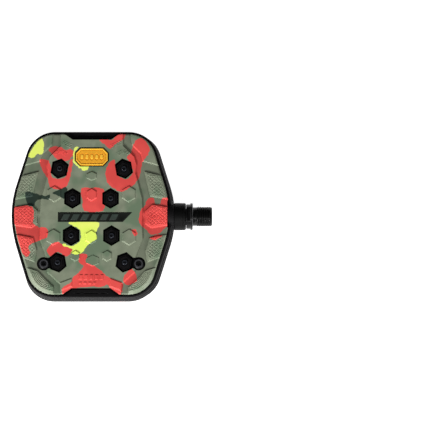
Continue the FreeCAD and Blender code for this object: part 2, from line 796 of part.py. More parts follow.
def make_bushing_and_sleeve():
    start = size.platform_station - size.boss_face + size.collar_shank_length
    barrel = size.bore_radius - size.fit_gap
    turned("journal_bushing", start, (
        (ZERO, size.bushing_inner_radius), (ZERO, size.bushing_flange_radius),
        (-size.bushing_flange, size.bushing_flange_radius), (-size.bushing_flange, barrel),
        (-size.bushing_length, barrel), (-size.bushing_length, size.bushing_inner_radius),
    ))
    sleeve_start = start + size.bushing_length
    length = size.bearing_station - sleeve_start
    turned("spacer_sleeve", sleeve_start, ring(ZERO, length, size.sleeve_inner_radius, barrel))


def make_bearing(name, station):
    """A sealed ball bearing. The balls and their cage go round at their own speed."""
    width = size.bearing_width
    middle = width / 2
    groove_radius = size.ball_radius + size.ball_gap
    barrel = size.bore_radius - size.fit_gap
    races = (
        ("inner_race", size.race_inner_radius, size.race_inner_shoulder),
        ("outer_race", size.race_outer_shoulder, barrel),
    )
    for race, inner, outer in races:
        body = turned(f"{name}_{race}", station, ring(ZERO, width, inner, outer))
        track = new_sketch(body, "XZ_Plane")
        draw_circle(track, -middle, size.ball_pitch_radius, groove_radius)
        cut(body, "Groove", track, ReferenceAxis=(track, ["H_Axis"]), Angle=360)

    thickness = size.shield_thickness
    near, far = size.shield_inset, width - size.shield_inset - thickness
    edges = (size.shield_inner_radius, size.race_outer_shoulder - size.fit_gap)
    turned(f"{name}_bearing_seals", station, ring(near, thickness, *edges), ring(far, thickness, *edges))

    low = size.ball_pitch_radius - size.cage_half_height
    high = size.ball_pitch_radius + size.cage_half_height
    start = middle - size.cage_half_width
    cage = turned(f"{name}_ball_cage", station, ring(start, size.cage_half_width * 2, low, high))
    balls = new_body(f"{name}_balls", station)
    ring_of_balls = (
        (cage, "SubtractiveSphere", groove_radius),
        (balls, "AdditiveSphere", size.ball_radius),
    )
    for body, kind, radius in ring_of_balls:
        ball = body.newObject(f"PartDesign::{kind}", f"{body.Name}_ball")
        ball.setExpression("Radius", radius.text)
        ball.setExpression("Placement.Base.x", f"-{middle.text}")
        ball.setExpression("Placement.Base.z", size.ball_pitch_radius.text)
        body.Tip = ball
        document.recompute()
        around_spindle(body, ball, BALLS)


def make_bearing_stack():
    second = size.bearing_station + size.bearing_spacing
    make_bearing("inboard", size.bearing_station)
    make_bearing("outboard", second)
    gap = size.bearing_spacing - size.bearing_width
    start = size.bearing_station + size.bearing_width
    barrel = size.bore_radius - size.fit_gap
    turned("inner_bearing_spacer", start, ring(ZERO, gap, size.race_inner_radius, size.inner_spacer_radius))
    turned("outer_bearing_spacer", start, ring(ZERO, gap, size.sleeve_inner_radius, barrel))

    washer_start = second + size.bearing_width
    thickness = size.washer_thickness
    turned("lock_washer", washer_start, ring(ZERO, thickness, size.race_inner_radius, size.washer_radius))

    nut = new_body("spindle_lock_nut", washer_start + thickness)
    faces = new_sketch(nut, "YZ_Plane")
    draw_polygon(faces, regular_hexagon(ZERO, ZERO, size.nut_half_width))
    draw_circle(faces, ZERO, ZERO, size.race_inner_radius)
    feature(nut, "Pad", faces, Length=size.nut_thickness, Reversed=True)


make_platform()
for face, over in (("top", False), ("bottom", True)):
    make_carrier(face, over)
    make_tread(face, over)
    make_badge(face, over)
    make_strip(face, over)
    make_screws(face, over)
    make_pins(face, over)
make_spindle()
make_collar()
make_bushing_and_sleeve()
make_bearing_stack()

document.recompute()
for thing in document.Objects:
    if {"Invalid", "Error"} & set(thing.State):
        raise RuntimeError(f"{thing.Name} is {thing.State}")
    if thing.isDerivedFrom("Sketcher::SketchObject") and not thing.FullyConstrained:
        raise RuntimeError(f"{thing.Name} isn't fully constrained")

os.makedirs("parts", exist_ok=True)
for body in nodes:
    shape = body.Shape
    if shape.isNull() or not shape.isValid():
        raise RuntimeError(f"{body.Label} has no valid shape")
    shape.exportStep(f"parts/{body.Label}.step")
    print(f"{body.Label}: {len(shape.Solids)} solids, {shape.Volume / 1000:.2f} cm3")
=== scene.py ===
"""Looks of a flat bicycle pedal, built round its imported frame.

Lengths are in millimetres while a piece is drawn and become metres when its mesh is made. The platform and
what is on it are drawn about the platform's own centre, with the top face up. The bottom face carries the
same pieces turned half round about the spindle.
"""

import logging
import math
from collections.abc import Callable, Iterable, Sequence
from dataclasses import dataclass, field
from enum import Enum
from typing import ClassVar

import bmesh
import bpy
import numpy as np
from mathutils import Matrix, Vector
from mathutils.geometry import delaunay_2d_cdt


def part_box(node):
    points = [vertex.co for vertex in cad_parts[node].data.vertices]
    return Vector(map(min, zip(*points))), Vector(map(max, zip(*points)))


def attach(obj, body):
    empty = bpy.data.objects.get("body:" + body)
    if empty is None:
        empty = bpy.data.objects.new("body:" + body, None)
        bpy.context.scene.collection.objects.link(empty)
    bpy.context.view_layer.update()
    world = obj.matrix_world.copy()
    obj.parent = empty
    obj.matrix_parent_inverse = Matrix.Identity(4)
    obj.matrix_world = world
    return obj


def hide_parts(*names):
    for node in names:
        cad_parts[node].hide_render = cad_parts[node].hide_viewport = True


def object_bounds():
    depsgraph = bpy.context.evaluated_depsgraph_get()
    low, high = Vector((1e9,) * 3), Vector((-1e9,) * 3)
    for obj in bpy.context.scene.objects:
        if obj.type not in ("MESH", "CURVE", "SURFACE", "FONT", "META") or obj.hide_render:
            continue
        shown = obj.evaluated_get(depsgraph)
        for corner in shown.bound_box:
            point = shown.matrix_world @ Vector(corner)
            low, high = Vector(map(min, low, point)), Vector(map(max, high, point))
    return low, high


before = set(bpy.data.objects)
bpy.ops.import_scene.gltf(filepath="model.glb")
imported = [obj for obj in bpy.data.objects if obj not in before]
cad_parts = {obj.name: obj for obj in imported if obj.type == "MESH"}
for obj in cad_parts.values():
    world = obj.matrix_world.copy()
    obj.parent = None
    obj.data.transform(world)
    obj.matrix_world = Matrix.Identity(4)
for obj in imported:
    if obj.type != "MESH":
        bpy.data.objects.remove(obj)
CAD_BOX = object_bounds()

log = logging.getLogger("flat_pedal")

MM = 0.001
WELD = 1e-4  # vertices closer than this become one, in millimetres

Point = tuple[float, float]
Spot = tuple[float, float, float]
Loop = list[Point]
Colour = tuple[float, float, float]
Radius = float | Callable[[float], float]


class Face(Enum):
    """The two faces of the pedal."""

    TOP = "top"
    BOTTOM = "bottom"


class Axis(Enum):
    """The axis that a turned piece goes round."""

    SPINDLE = "X"
    UPRIGHT = "Z"


class Camo(Enum):
    """The rubbers of a tread, by their place in its list of materials."""

    SAGE = 0
    CORAL = 1
    LIME = 2
    PINE = 3
    # Painted shade: black on the tread's walls round its edge and its openings.
    WALL_SHADE = 4
    # Painted highlight: paler rubber on the lit bevel of the near edges.
    LIT_EDGE = 5


class Zone(Enum):
    """The two finishes of a badge, a strip or a turned piece, by their place in its list of materials."""

    GROUND = 0
    ACCENT = 1


# Plane geometry


def mirrored(loop: Sequence[Point]) -> Loop:
    """The loop on the other side of the platform's middle."""
    return [(-x, y) for x, y in loop]


def signed_area(loop: Sequence[Point]) -> float:
    """Area inside a loop, positive if it runs counter-clockwise."""
    points = np.array(loop)
    after = np.roll(points, -1, axis=0)
    return float((points[:, 0] * after[:, 1] - points[:, 1] * after[:, 0]).sum() / 2)


def inset(loop: Sequence[Point], distance: float) -> Loop:
    """Moves every side of a loop inwards, with mitred corners.

    Args:
        loop: Corners, in either direction.
        distance: How far the sides move, negative to move them outwards.

    Returns:
        The new corners, as many as before.
    """
    points = np.array(loop)
    turn = math.copysign(1.0, signed_area(loop))
    ahead = np.roll(points, -1, axis=0) - points
    ahead /= np.linalg.norm(ahead, axis=1)[:, None]
    inward = np.stack((-ahead[:, 1], ahead[:, 0]), axis=1) * turn
    before = np.roll(inward, 1, axis=0)
    share = 1 + (inward * before).sum(1)
    moved = points + (inward + before) * (distance / np.maximum(share, 0.2))[:, None]
    return [(float(x), float(y)) for x, y in moved]


def is_inside(points: np.ndarray, loop: Sequence[Point]) -> np.ndarray:
    """Which points lie inside a loop.

    Args:
        points: Array of x, y rows.
        loop: Corners of the loop.

    Returns:
        A boolean for each point.
    """
    start = np.array(loop)
    end = np.roll(start, -1, axis=0)
    x, y = points[:, :1], points[:, 1:2]
    straddles = (start[:, 1] > y) != (end[:, 1] > y)
    rise = end[:, 1] - start[:, 1]
    rise = np.where(rise == 0, 1.0, rise)
    reach = start[:, 0] + (y - start[:, 1]) * (end[:, 0] - start[:, 0]) / rise
    return (straddles & (x < reach)).sum(1) % 2 == 1


def depth_inside(points: np.ndarray, loop: Sequence[Point]) -> np.ndarray:
    """Distance of points from a loop, positive inside it.

    Args:
        points: Array of x, y rows.
        loop: Corners of the loop.

    Returns:
        A distance for each point.
    """
    start = np.array(loop)
    side = np.roll(start, -1, axis=0) - start
    offset = points[:, None, :] - start[None]
    share = np.clip((offset * side).sum(2) / (side**2).sum(1), 0, 1)
    gap = np.sqrt(((offset - share[..., None] * side) ** 2).sum(2)).min(1)
    return np.where(is_inside(points, loop), gap, -gap)


def rounded(corners: Sequence[Point], radii: Sequence[float], arc_steps: int, side_steps: int) -> Loop:
    """A polygon with rounded corners, always with the same number of points for the same steps.

    Args:
        corners: The sharp corners.
        radii: The radius at each corner.
        arc_steps: Parts that each corner's arc is divided into.
        side_steps: Parts that each straight side is divided into.

    Returns:
        The points of the rounded loop.
    """
    points = [Vector(corner) for corner in corners]
    arcs = []
    for i, corner in enumerate(points):
        back = (points[i - 1] - corner).normalized()
        ahead = (points[(i + 1) % len(points)] - corner).normalized()
        half = back.angle(ahead) / 2
        middle = corner + (back + ahead).normalized() * (radii[i] / math.sin(half))
        first = corner + back * (radii[i] / math.tan(half)) - middle
        last = corner + ahead * (radii[i] / math.tan(half)) - middle
        sweep = first.angle_signed(last)
        turns = (Matrix.Rotation(-sweep * k / arc_steps, 2) for k in range(arc_steps + 1))
        arcs.append([middle + turn @ first for turn in turns])
    loop = []
    for i, arc in enumerate(arcs):
        following = arcs[(i + 1) % len(arcs)][0]
        loop += arc
        loop += [arc[-1].lerp(following, k / side_steps) for k in range(1, side_steps)]
    return [(point.x, point.y) for point in loop]


def flowing(controls: Sequence[Point], step: float = 0.8) -> Loop:
    """A smooth closed curve through a few points, for the edge of a patch of colour.

    Args:
        controls: The points that the curve goes through.
        step: About how far apart the curve's own points are.

    Returns:
        The points of the curve.
    """
    points = [Vector(point) for point in controls]
    count = len(points)
    loop = []
    for i in range(count):
        before, start, end, after = (points[(i + k) % count] for k in (-1, 0, 1, 2))
        pieces = max(1, round((end - start).length / step))
        for k in range(pieces):
            t = k / pieces
            lead_in = (end - before) * (0.4 * t * (1 - t) ** 2)
            lead_out = (after - start) * (0.4 * t * t * (1 - t))
            blend = t * t * (3 - 2 * t)
            point = start.lerp(end, blend) + lead_in - lead_out
            loop.append((point.x, point.y))
    return loop


def ragged(loop: Loop, reach: float = 0.35) -> Loop:
    """A closed curve with a slightly torn edge.

    Args:
        loop: The smooth curve.
        reach: How far a point moves at most, in each direction.

    Returns:
        The torn curve.
    """
    torn = []
    for x, y in loop:
        sway = math.sin(2.3 * x + 1.1 * y) + 0.7 * math.sin(3.9 * y - 1.7 * x + 1.0)
        lift = math.sin(2.1 * y - 0.8 * x + 2.0) + 0.7 * math.sin(4.3 * x + 0.9 * y)
        torn.append((x + reach * sway / 1.7, y + reach * lift / 1.7))
    return torn


def circle(x: float, y: float, radius: float, steps: int = 40) -> Loop:
    """Points round a circle."""
    angles = (math.tau * k / steps for k in range(steps))
    return [(x + radius * math.cos(angle), y + radius * math.sin(angle)) for angle in angles]


def hexagon(
    x: float, y: float, half_width: float, half_height: float, side: float, slant: float = 0
) -> Loop:
    """A hexagon that stands on a point.

    Args:
        x: Its middle.
        y: Its middle.
        half_width: From its middle to an upright side.
        half_height: From its middle to its top corner.
        side: Half the length of an upright side.
        slant: Turn about its middle, in degrees.

    Returns:
        Its six corners.
    """
    across, up = math.cos(math.radians(slant)), math.sin(math.radians(slant))
    local = [(0, half_height), (half_width, side), (half_width, -side)]
    local += [(-u, -v) for u, v in local]
    return [(x + u * across - v * up, y + u * up + v * across) for u, v in local]


def slanted_bar(x: float, y: float, width: float, height: float, rake: float) -> Loop:
    """A bar whose upper end leans over by its rake, from its lower left corner."""
    return [(x, y), (x + width, y), (x + width + rake, y + height), (x + rake, y + height)]


# Meshes


@dataclass
class Mesh:
    """Corners and faces of a piece, in millimetres, with the place of each face's material."""

    points: list[Spot] = field(default_factory=list)
    faces: list[tuple[int, ...]] = field(default_factory=list)
    zones: list[int] = field(default_factory=list)

    def add(self, points: Iterable, faces: Iterable, zones: Iterable | None = None) -> None:
        """Joins more faces on.

        Args:
            points: Corners of the new faces.
            faces: Indices into those corners.
            zones: Place of each face's material, or None for the first one.
        """
        start = len(self.points)
        self.points += [tuple(map(float, point)) for point in points]
        added = [tuple(start + i for i in face) for face in faces]
        self.faces += added
        self.zones += list(zones) if zones is not None else [0] * len(added)

    def turned_over(self) -> "Mesh":
        """The same mesh half a turn about the spindle."""
        return Mesh([(x, -y, -z) for x, y, z in self.points], self.faces, self.zones)

    def moved(self, x: float, y: float) -> "Mesh":
        """The same mesh in another place."""
        return Mesh([(a + x, b + y, c) for a, b, c in self.points], self.faces, self.zones)

    def piece(self, name: str, origin: float, crease: float = 28.0) -> bpy.types.Object:
        """Makes the object, welded and with its faces pointing outwards.

        Args:
            name: The piece's name.
            origin: X of the mesh's own origin in the frame, in metres.
            crease: Angle in degrees above which an edge is shaded as sharp.

        Returns:
            The object, in metres, with no material yet.
        """
        data = bpy.data.meshes.new(name)
        data.from_pydata([Vector(point) for point in self.points], [], self.faces)
        data.polygons.foreach_set("material_index", self.zones)
        work = bmesh.new()
        work.from_mesh(data)
        bmesh.ops.remove_doubles(work, verts=work.verts, dist=WELD)
        bmesh.ops.dissolve_degenerate(work, edges=work.edges, dist=WELD)
        loose = [corner for corner in work.verts if not corner.link_faces]
        bmesh.ops.delete(work, geom=loose, context="VERTS")
        bmesh.ops.recalc_face_normals(work, faces=work.faces)
        place = Matrix.Translation((origin, 0, 0)) @ Matrix.Scale(MM, 4)
        bmesh.ops.transform(work, matrix=place, verts=work.verts)
        for edge in work.edges:
            edge.smooth = len(edge.link_faces) == 2 and edge.calc_face_angle(0) < math.radians(crease)
        for face in work.faces:
            face.smooth = True
        work.to_mesh(data)
        work.free()
        made = bpy.data.objects.new(name, data)
        bpy.context.scene.collection.objects.link(made)
        return made


def triangulate(loops: Iterable[Loop], lines: Iterable[Loop], spots: Loop) -> tuple[np.ndarray, list]:
    """Triangles of the plane that follow every loop and line.

    Args:
        loops: Closed outlines.
        lines: Open lines.
        spots: Single points to include.

    Returns:
        The corners as x, y rows, and the triangles as indices into them.
    """
    points, edges = [], []
    for loop in loops:
        start, count = len(points), len(loop)
        points += loop
        edges += [(start + i, start + (i + 1) % count) for i in range(count)]
    for line in lines:
        start = len(points)
        points += line
        edges += [(start + i, start + i + 1) for i in range(len(line) - 1)]
    points += spots
    made = delaunay_2d_cdt([Vector(point) for point in points], edges, [], 0, 1e-5, False)
    return np.array([(corner.x, corner.y) for corner in made[0]]), made[2]


def runs_inside(line: Loop, loop: Loop, margin: float) -> list[Loop]:
    """The stretches of a line that lie inside a loop.

    Args:
        line: The points of the line.
        loop: The area.
        margin: How far the stretches stay from its edge.

    Returns:
        Open lines of two or more points.
    """
    found: list[Loop] = [[]]
    for point, depth in zip(line, depth_inside(np.array(line), loop)):
        if depth > margin:
            found[-1].append(point)
        elif found[-1]:
            found.append([])
    return [run for run in found if len(run) > 1]


@dataclass(frozen=True)
class Knurl:
    """A field of small four-sided points."""

    pitch_x: float = 1.45
    pitch_y: float = 1.25
    height: float = 0.21

    def rise(self, points: np.ndarray) -> np.ndarray:
        """Height of the knurl over its floor at each point."""
        u = points[:, 0] / self.pitch_x + points[:, 1] / self.pitch_y
        v = points[:, 0] / self.pitch_x - points[:, 1] / self.pitch_y
        slope = np.maximum(abs(2 * (u % 1) - 1), abs(2 * (v % 1) - 1))
        return self.height * (1 - slope)

    def grid(self, loop: Loop, step: int) -> Iterable[int]:
        """Counts of half pitches that cover a loop."""
        reach = max(abs(value) for point in loop for value in point)
        count = math.ceil(2 * reach / min(self.pitch_x, self.pitch_y))
        return range(-count, count + 1, step)

    def spots(self, loop: Loop, margin: float) -> Loop:
        """The knurl's tips inside a loop.

        Args:
            loop: The area to fill.
            margin: How far they stay from its edge.

        Returns:
            The points.
        """
        step_x, step_y = self.pitch_x / 2, self.pitch_y / 2
        counts = self.grid(loop, 1)
        tips = [(i * step_x, j * step_y) for i in counts for j in counts if (i + j) % 2]
        depths = depth_inside(np.array(tips), loop)
        return [tip for tip, depth in zip(tips, depths) if depth > margin]

    def lines(self, loop: Loop, margin: float) -> list[Loop]:
        """The knurl's valleys inside a loop.

        Args:
            loop: The area to fill.
            margin: How far they stay from its edge.

        Returns:
            Open lines.
        """
        step_x, step_y = self.pitch_x / 2, self.pitch_y / 2
        found: list[Loop] = []
        for way in (1, -1):
            for k in self.grid(loop, 2):
                line = [((k + m) * step_x, way * (k - m) * step_y) for m in self.grid(loop, 2)]
                found += runs_inside(line, loop, margin)
        return found


@dataclass(frozen=True)
class Ribs:
    """Fine ribs that run along an edge."""

    edge: Loop
    pitch: float = 1.15
    height: float = 0.32
    first: int = 4
    reach: float = 11.0

    def rise(self, points: np.ndarray) -> np.ndarray:
        """Height of the ribs over their floor at each point."""
        turns = depth_inside(points, self.edge) / self.pitch
        return self.height * (1 - abs(2 * (turns % 1) - 1)) * (turns > self.first / 2)

    def spots(self, loop: Loop, margin: float) -> Loop:
        """No single points: its lines are enough."""
        return []

    def lines(self, loop: Loop, margin: float) -> list[Loop]:
        """The crests and valleys inside a loop.

        Args:
            loop: The area to fill.
            margin: How far they stay from its edge.

        Returns:
            Open lines.
        """
        found: list[Loop] = []
        for k in range(self.first, round(2 * self.reach / self.pitch)):
            found += runs_inside(inset(self.edge, k * self.pitch / 2), loop, margin)
        return found


@dataclass(frozen=True)
class Facet:
    """A raised or sunk area of a moulded plate, with a sloping edge."""

    outline: Loop
    level: float
    bevel: float
    texture: Knurl | Ribs | None = None


@dataclass(frozen=True)
class Fall:
    """A fall towards the plate's own edge, in one area of it."""

    area: Loop
    width: float
    drop: float


@dataclass
class Plate:
    """A moulded plate whose top is facets on a base, each drawn over those before it."""

    outline: Loop
    base: float
    facets: list[Facet]
    openings: list[Loop] = field(default_factory=list)
    colours: list[tuple[Enum, Loop]] = field(default_factory=list)
    falls: list[Fall] = field(default_factory=list)
    floor: Callable[[np.ndarray], np.ndarray] | float = -math.inf
    floor_lines: list[Loop] = field(default_factory=list)
    wall: Enum = Zone.GROUND
    least: float = 0.35
    texture_fade: float = 0.5
    texture_margin: float = 0.25
    fall_fade: float = 0.8

    def underside(self, points: np.ndarray) -> np.ndarray:
        """Height of the underside at each x, y row."""
        return self.floor(points) if callable(self.floor) else np.full(len(points), self.floor)

    def heights(self, points: np.ndarray) -> np.ndarray:
        """Height of the top at each x, y row."""
        height = np.full(len(points), self.base)
        for facet in self.facets:
            depth = depth_inside(points, facet.outline)
            share = np.clip(depth / facet.bevel, 0, 1)
            height += (facet.level - height) * share
            if facet.texture is not None:
                share = np.clip((depth - facet.bevel) / self.texture_fade, 0, 1)
                height += facet.texture.rise(points) * share
        for fall in self.falls:
            near = np.clip(1 - depth_inside(points, self.outline) / fall.width, 0, 1)
            share = np.clip(depth_inside(points, fall.area) / self.fall_fade, 0, 1)
            height -= fall.drop * near * share
        return np.maximum(height, self.underside(points) + self.least)

    def creases(self) -> list[Loop]:
        """Every loop that the triangles follow."""
        loops = [self.outline, *self.openings, *(loop for _, loop in self.colours)]
        loops += [inset(self.outline, fall.width) for fall in self.falls]
        for facet in self.facets:
            loops += [facet.outline, inset(facet.outline, facet.bevel)]
        return loops

    def clear(self, spots: Loop, loops: Iterable[Loop], margin: float = 0.22) -> Loop:
        """Those of the spots that stay clear of the loops."""
        points = np.array(spots).reshape(-1, 2)
        keep = np.ones(len(points), bool)
        for loop in loops:
            keep &= abs(depth_inside(points, loop)) > margin
        return [spot for spot, kept in zip(spots, keep) if kept]

    def kept(self, points: np.ndarray, faces: list) -> tuple[list, np.ndarray]:
        """The triangles inside the outline and outside the openings, with their middles."""
        middles = np.array([points[list(face)].mean(0) for face in faces])
        keep = is_inside(middles, self.outline)
        for opening in self.openings:
            keep &= ~is_inside(middles, opening)
        return [face for face, inside in zip(faces, keep) if inside], middles[keep]

    def top(self) -> tuple[np.ndarray, list, list[int]]:
        """The upper surface.

        Returns:
            Its x, y corners, its triangles, and the place of each triangle's material.
        """
        loops = self.creases()
        spots = []
        lines = list(self.floor_lines)
        for facet in self.facets:
            if facet.texture is not None:
                margin = facet.bevel + self.texture_margin
                spots += self.clear(facet.texture.spots(facet.outline, margin), loops)
                lines += facet.texture.lines(facet.outline, margin)
        points, faces = triangulate(loops, lines, spots)
        faces, middles = self.kept(points, faces)
        zones = np.zeros(len(faces), int)
        for colour, loop in self.colours:
            zones[is_inside(middles, loop)] = colour.value
        return points, faces, zones.tolist()

    def closed(self) -> Mesh:
        """The whole plate: its top, the walls round it and its openings, and its underside."""
        points, faces, zones = self.top()
        high = np.column_stack((points, self.heights(points)))
        low = np.column_stack((points, self.underside(points)))
        mesh = Mesh()
        mesh.add(high, faces, zones)
        sides: set[tuple[int, int]] = set()
        for face in faces:
            for start, end in zip(face, (*face[1:], face[0])):
                if (end, start) in sides:
                    sides.remove((end, start))
                else:
                    sides.add((start, end))
        offset = len(points)
        sides = sorted(sides)
        walls = [(start, start + offset, end + offset, end) for start, end in sides]
        mesh.add(np.vstack((high, low)), walls, [self.wall.value] * len(walls))
        rim = [[tuple(points[start]), tuple(points[end])] for start, end in sides]
        under, under_faces = triangulate([], rim + self.floor_lines, [])
        under_faces, _ = self.kept(under, under_faces)
        mesh.add(np.column_stack((under, self.underside(under))), under_faces)
        return mesh


def turned(
    rings: Sequence[tuple[float, Radius]], axis: Axis, steps: int = 72, tube: bool = False,
    bright: Sequence[int] = (),
) -> Mesh:
    """A piece turned about an axis.

    Args:
        rings: Place along the axis and radius of each ring; a radius may depend on the angle.
        axis: The axis.
        steps: Points round each ring.
        tube: True if the last ring joins the first, so that the piece is hollow.
        bright: The bands between rings that take the second material, a lighter one that paints a highlight.

    Returns:
        The closed mesh. Its ends are flat unless it is a tube.
    """
    points, faces = [], []
    for along, radius in rings:
        for k in range(steps):
            angle = math.tau * k / steps
            reach = radius(angle) if callable(radius) else radius
            across, up = reach * math.sin(angle), reach * math.cos(angle)
            points.append((along, across, up) if axis is Axis.SPINDLE else (across, up, along))
    count = len(rings)
    for i in range(count if tube else count - 1):
        here, there = i * steps, (i + 1) % count * steps
        for k in range(steps):
            after = (k + 1) % steps
            faces.append((here + k, here + after, there + after, there + k))
    for i in () if tube else (0, count - 1):
        along = rings[i][0]
        faces += [(i * steps + k, i * steps + (k + 1) % steps, len(points)) for k in range(steps)]
        points.append((along, 0, 0) if axis is Axis.SPINDLE else (0, 0, along))
    mesh = Mesh()
    mesh.add(points, faces, [int(i // steps in bright) for i in range(len(faces))])
    return mesh


def polygon_radius(flat: float, sides: int = 6) -> Callable[[float], float]:
    """Radius of a regular polygon at an angle, from its middle to its flat."""
    part = math.tau / sides
    return lambda angle: flat / math.cos((angle + part / 2) % part - part / 2)


def lobed_radius(tip: float, valley: float, lobes: int = 6) -> Callable[[float], float]:
    """Radius of a star of round lobes at an angle."""
    return lambda angle: (tip + valley) / 2 + (tip - valley) / 2 * math.cos(lobes * angle)


def combine(base: bpy.types.Object, tool: bpy.types.Object, operation: str) -> None:
    """Joins a tool to an object or cuts it away, and removes the tool.

    Args:
        base: The object that changes.
        tool: The object that is used up.
        operation: UNION or DIFFERENCE.
    """
    modifier = base.modifiers.new("combine", "BOOLEAN")
    modifier.operation = operation
    modifier.solver = "MANIFOLD"
    modifier.object = tool
    graph = bpy.context.evaluated_depsgraph_get()
    made = bpy.data.meshes.new_from_object(base.evaluated_get(graph))
    base.modifiers.clear()
    made.materials.clear()
    base.data = made
    bpy.data.objects.remove(tool)


# Shader maths


class Wire:
    """A shader socket that can be used in Python expressions."""

    def __init__(self, shader: "Shader", socket: bpy.types.NodeSocket) -> None:
        """Wraps a socket of a shader's tree."""
        self.shader = shader
        self.socket = socket

    def maths(self, operation: str, *values: "Wire | float") -> "Wire":
        """A Math node on some values."""
        return self.shader.node("ShaderNodeMath", {"operation": operation}, dict(enumerate(values)))

    def __add__(self, other: "Wire | float") -> "Wire":
        """Sum."""
        return self.maths("ADD", self, other)

    __radd__ = __add__

    def __sub__(self, other: "Wire | float") -> "Wire":
        """Difference."""
        return self.maths("SUBTRACT", self, other)

    def __rsub__(self, other: float) -> "Wire":
        """Difference from a number."""
        return self.maths("SUBTRACT", other, self)

    def __mul__(self, other: "Wire | float") -> "Wire":
        """Product."""
        return self.maths("MULTIPLY", self, other)

    __rmul__ = __mul__

    def between(self, low: float, high: float) -> "Wire":
        """A smooth step from 0 at low to 1 at high."""
        settings = {"interpolation_type": "SMOOTHSTEP"}
        values = {"Value": self, "From Min": low, "From Max": high}
        return self.shader.node("ShaderNodeMapRange", settings, values)


class Shader:
    """The node tree of one material."""

    def __init__(self, name: str) -> None:
        """Makes the material with an empty Principled shader."""
        self.material = bpy.data.materials.new(name)
        self.material.use_nodes = True
        self.tree = self.material.node_tree
        self.surface = self.tree.nodes["Principled BSDF"]

    def node(self, kind: str, settings: dict, values: dict, output: int | str = 0) -> Wire:
        """Adds a node.

        Args:
            kind: The node's type.
            settings: Its own settings, which are set first.
            values: A value or a link for each input, by name or number.
            output: The output that is wanted.

        Returns:
            That output.
        """
        made = self.tree.nodes.new(kind)
        for name, value in settings.items():
            setattr(made, name, value)
        self.feed(made, values)
        return Wire(self, made.outputs[output])

    def feed(self, node: bpy.types.Node, values: dict) -> None:
        """Sets or links inputs of a node."""
        for name, value in values.items():
            if isinstance(value, Wire):
                self.tree.links.new(value.socket, node.inputs[name])
            else:
                node.inputs[name].default_value = value

    def place(self) -> Wire:
        """The point on the surface, in metres."""
        return self.node("ShaderNodeTexCoord", {}, {}, "Object")

    def level(self) -> Wire:
        """Distance from the pedal's middle plane, in metres."""
        height = self.node("ShaderNodeSeparateXYZ", {}, {0: self.place()}, "Z")
        return height.maths("ABSOLUTE", height)

    def stretched(self, x: float, y: float, z: float) -> Wire:
        """The point on the surface, scaled along each axis."""
        values = {0: self.place(), 1: (x, y, z)}
        return self.node("ShaderNodeVectorMath", {"operation": "MULTIPLY"}, values)

    def noise(self, size: float, detail: float = 3.0, where: Wire | None = None) -> Wire:
        """Noise whose features are about a size in millimetres."""
        values = {"Vector": where or self.place(), "Scale": 1 / (size * MM), "Detail": detail}
        return self.node("ShaderNodeTexNoise", {}, values)

    def mix(self, share: Wire, first: Colour | Wire, second: Colour | Wire) -> Wire:
        """A colour between two."""
        first = first if isinstance(first, Wire) else (*first, 1.0)
        second = second if isinstance(second, Wire) else (*second, 1.0)
        values = {0: share, 6: first, 7: second}
        return self.node("ShaderNodeMix", {"data_type": "RGBA"}, values, 2)

    def bump(self, height: Wire, depth: float, strength: float = 1.0) -> Wire:
        """A normal from a height of 0 to 1 that stands for a depth in millimetres."""
        values = {"Height": height, "Distance": depth * MM, "Strength": strength}
        return self.node("ShaderNodeBump", {}, values)


def srgb(red: int, green: int, blue: int) -> Colour:
    """The shader colour of a screen colour from 0 to 255."""
    shares = (value / 255 for value in (red, green, blue))
    return tuple(s / 12.92 if s <= 0.04045 else ((s + 0.055) / 1.055) ** 2.4 for s in shares)


def scaled(colour: Colour, share: float) -> Colour:
    """A colour made lighter or darker."""
    return tuple(min(1.0, value * share) for value in colour)


@dataclass(frozen=True)
class Rubber:
    """Moulded tread rubber: clouds of a second tone, mottling, a fine grain, dusty specks and painted shade
    in the low channels.
    """

    name: str
    colour: Colour
    cloud: Colour
    mottle: float = 0.12
    roughness: float = 0.62
    # Heights in millimetres over which the painted shade of the low channels fades out.
    channel_shade_heights: tuple[float, float] = (8.5, 9.5)

    def material(self) -> bpy.types.Material:
        """Makes the material."""
        shader = Shader(self.name)
        cloud = shader.noise(9.0, 4.0)
        patch = shader.noise(16.0, 2.0, shader.stretched(1.0, 0.8, 1.0))
        speck = shader.noise(0.9, 2.0)
        grain = shader.noise(0.22, 2.0)
        tone = cloud.between(0.3, 0.7) * 0.7 + speck * 0.3
        dark, light = scaled(self.colour, 1 - self.mottle), scaled(self.colour, 1 + self.mottle)
        plain = shader.mix(tone, dark, light)
        body = shader.mix(patch.between(0.46, 0.62), plain, self.cloud)
        dust = speck.between(0.58, 0.75) * cloud.between(0.45, 0.7) * 0.12
        rubbed = shader.mix(dust, body, scaled(self.colour, 1.5))
        # Painted shade: the colour darkens towards the tread's low channels, where shade falls.
        low, high = self.channel_shade_heights
        channel_shade = (1 - shader.level().between(low * MM, high * MM)) * (0.25 + 0.2 * cloud)
        shader.feed(shader.surface, {
            "Base Color": shader.mix(channel_shade, rubbed, scaled(self.colour, 0.3)),
            "Roughness": self.roughness - 0.12 * grain + 0.15 * cloud,
            "Normal": shader.bump(grain, 0.03, 0.6),
            "Specular IOR Level": 0.32,
        })
        return shader.material


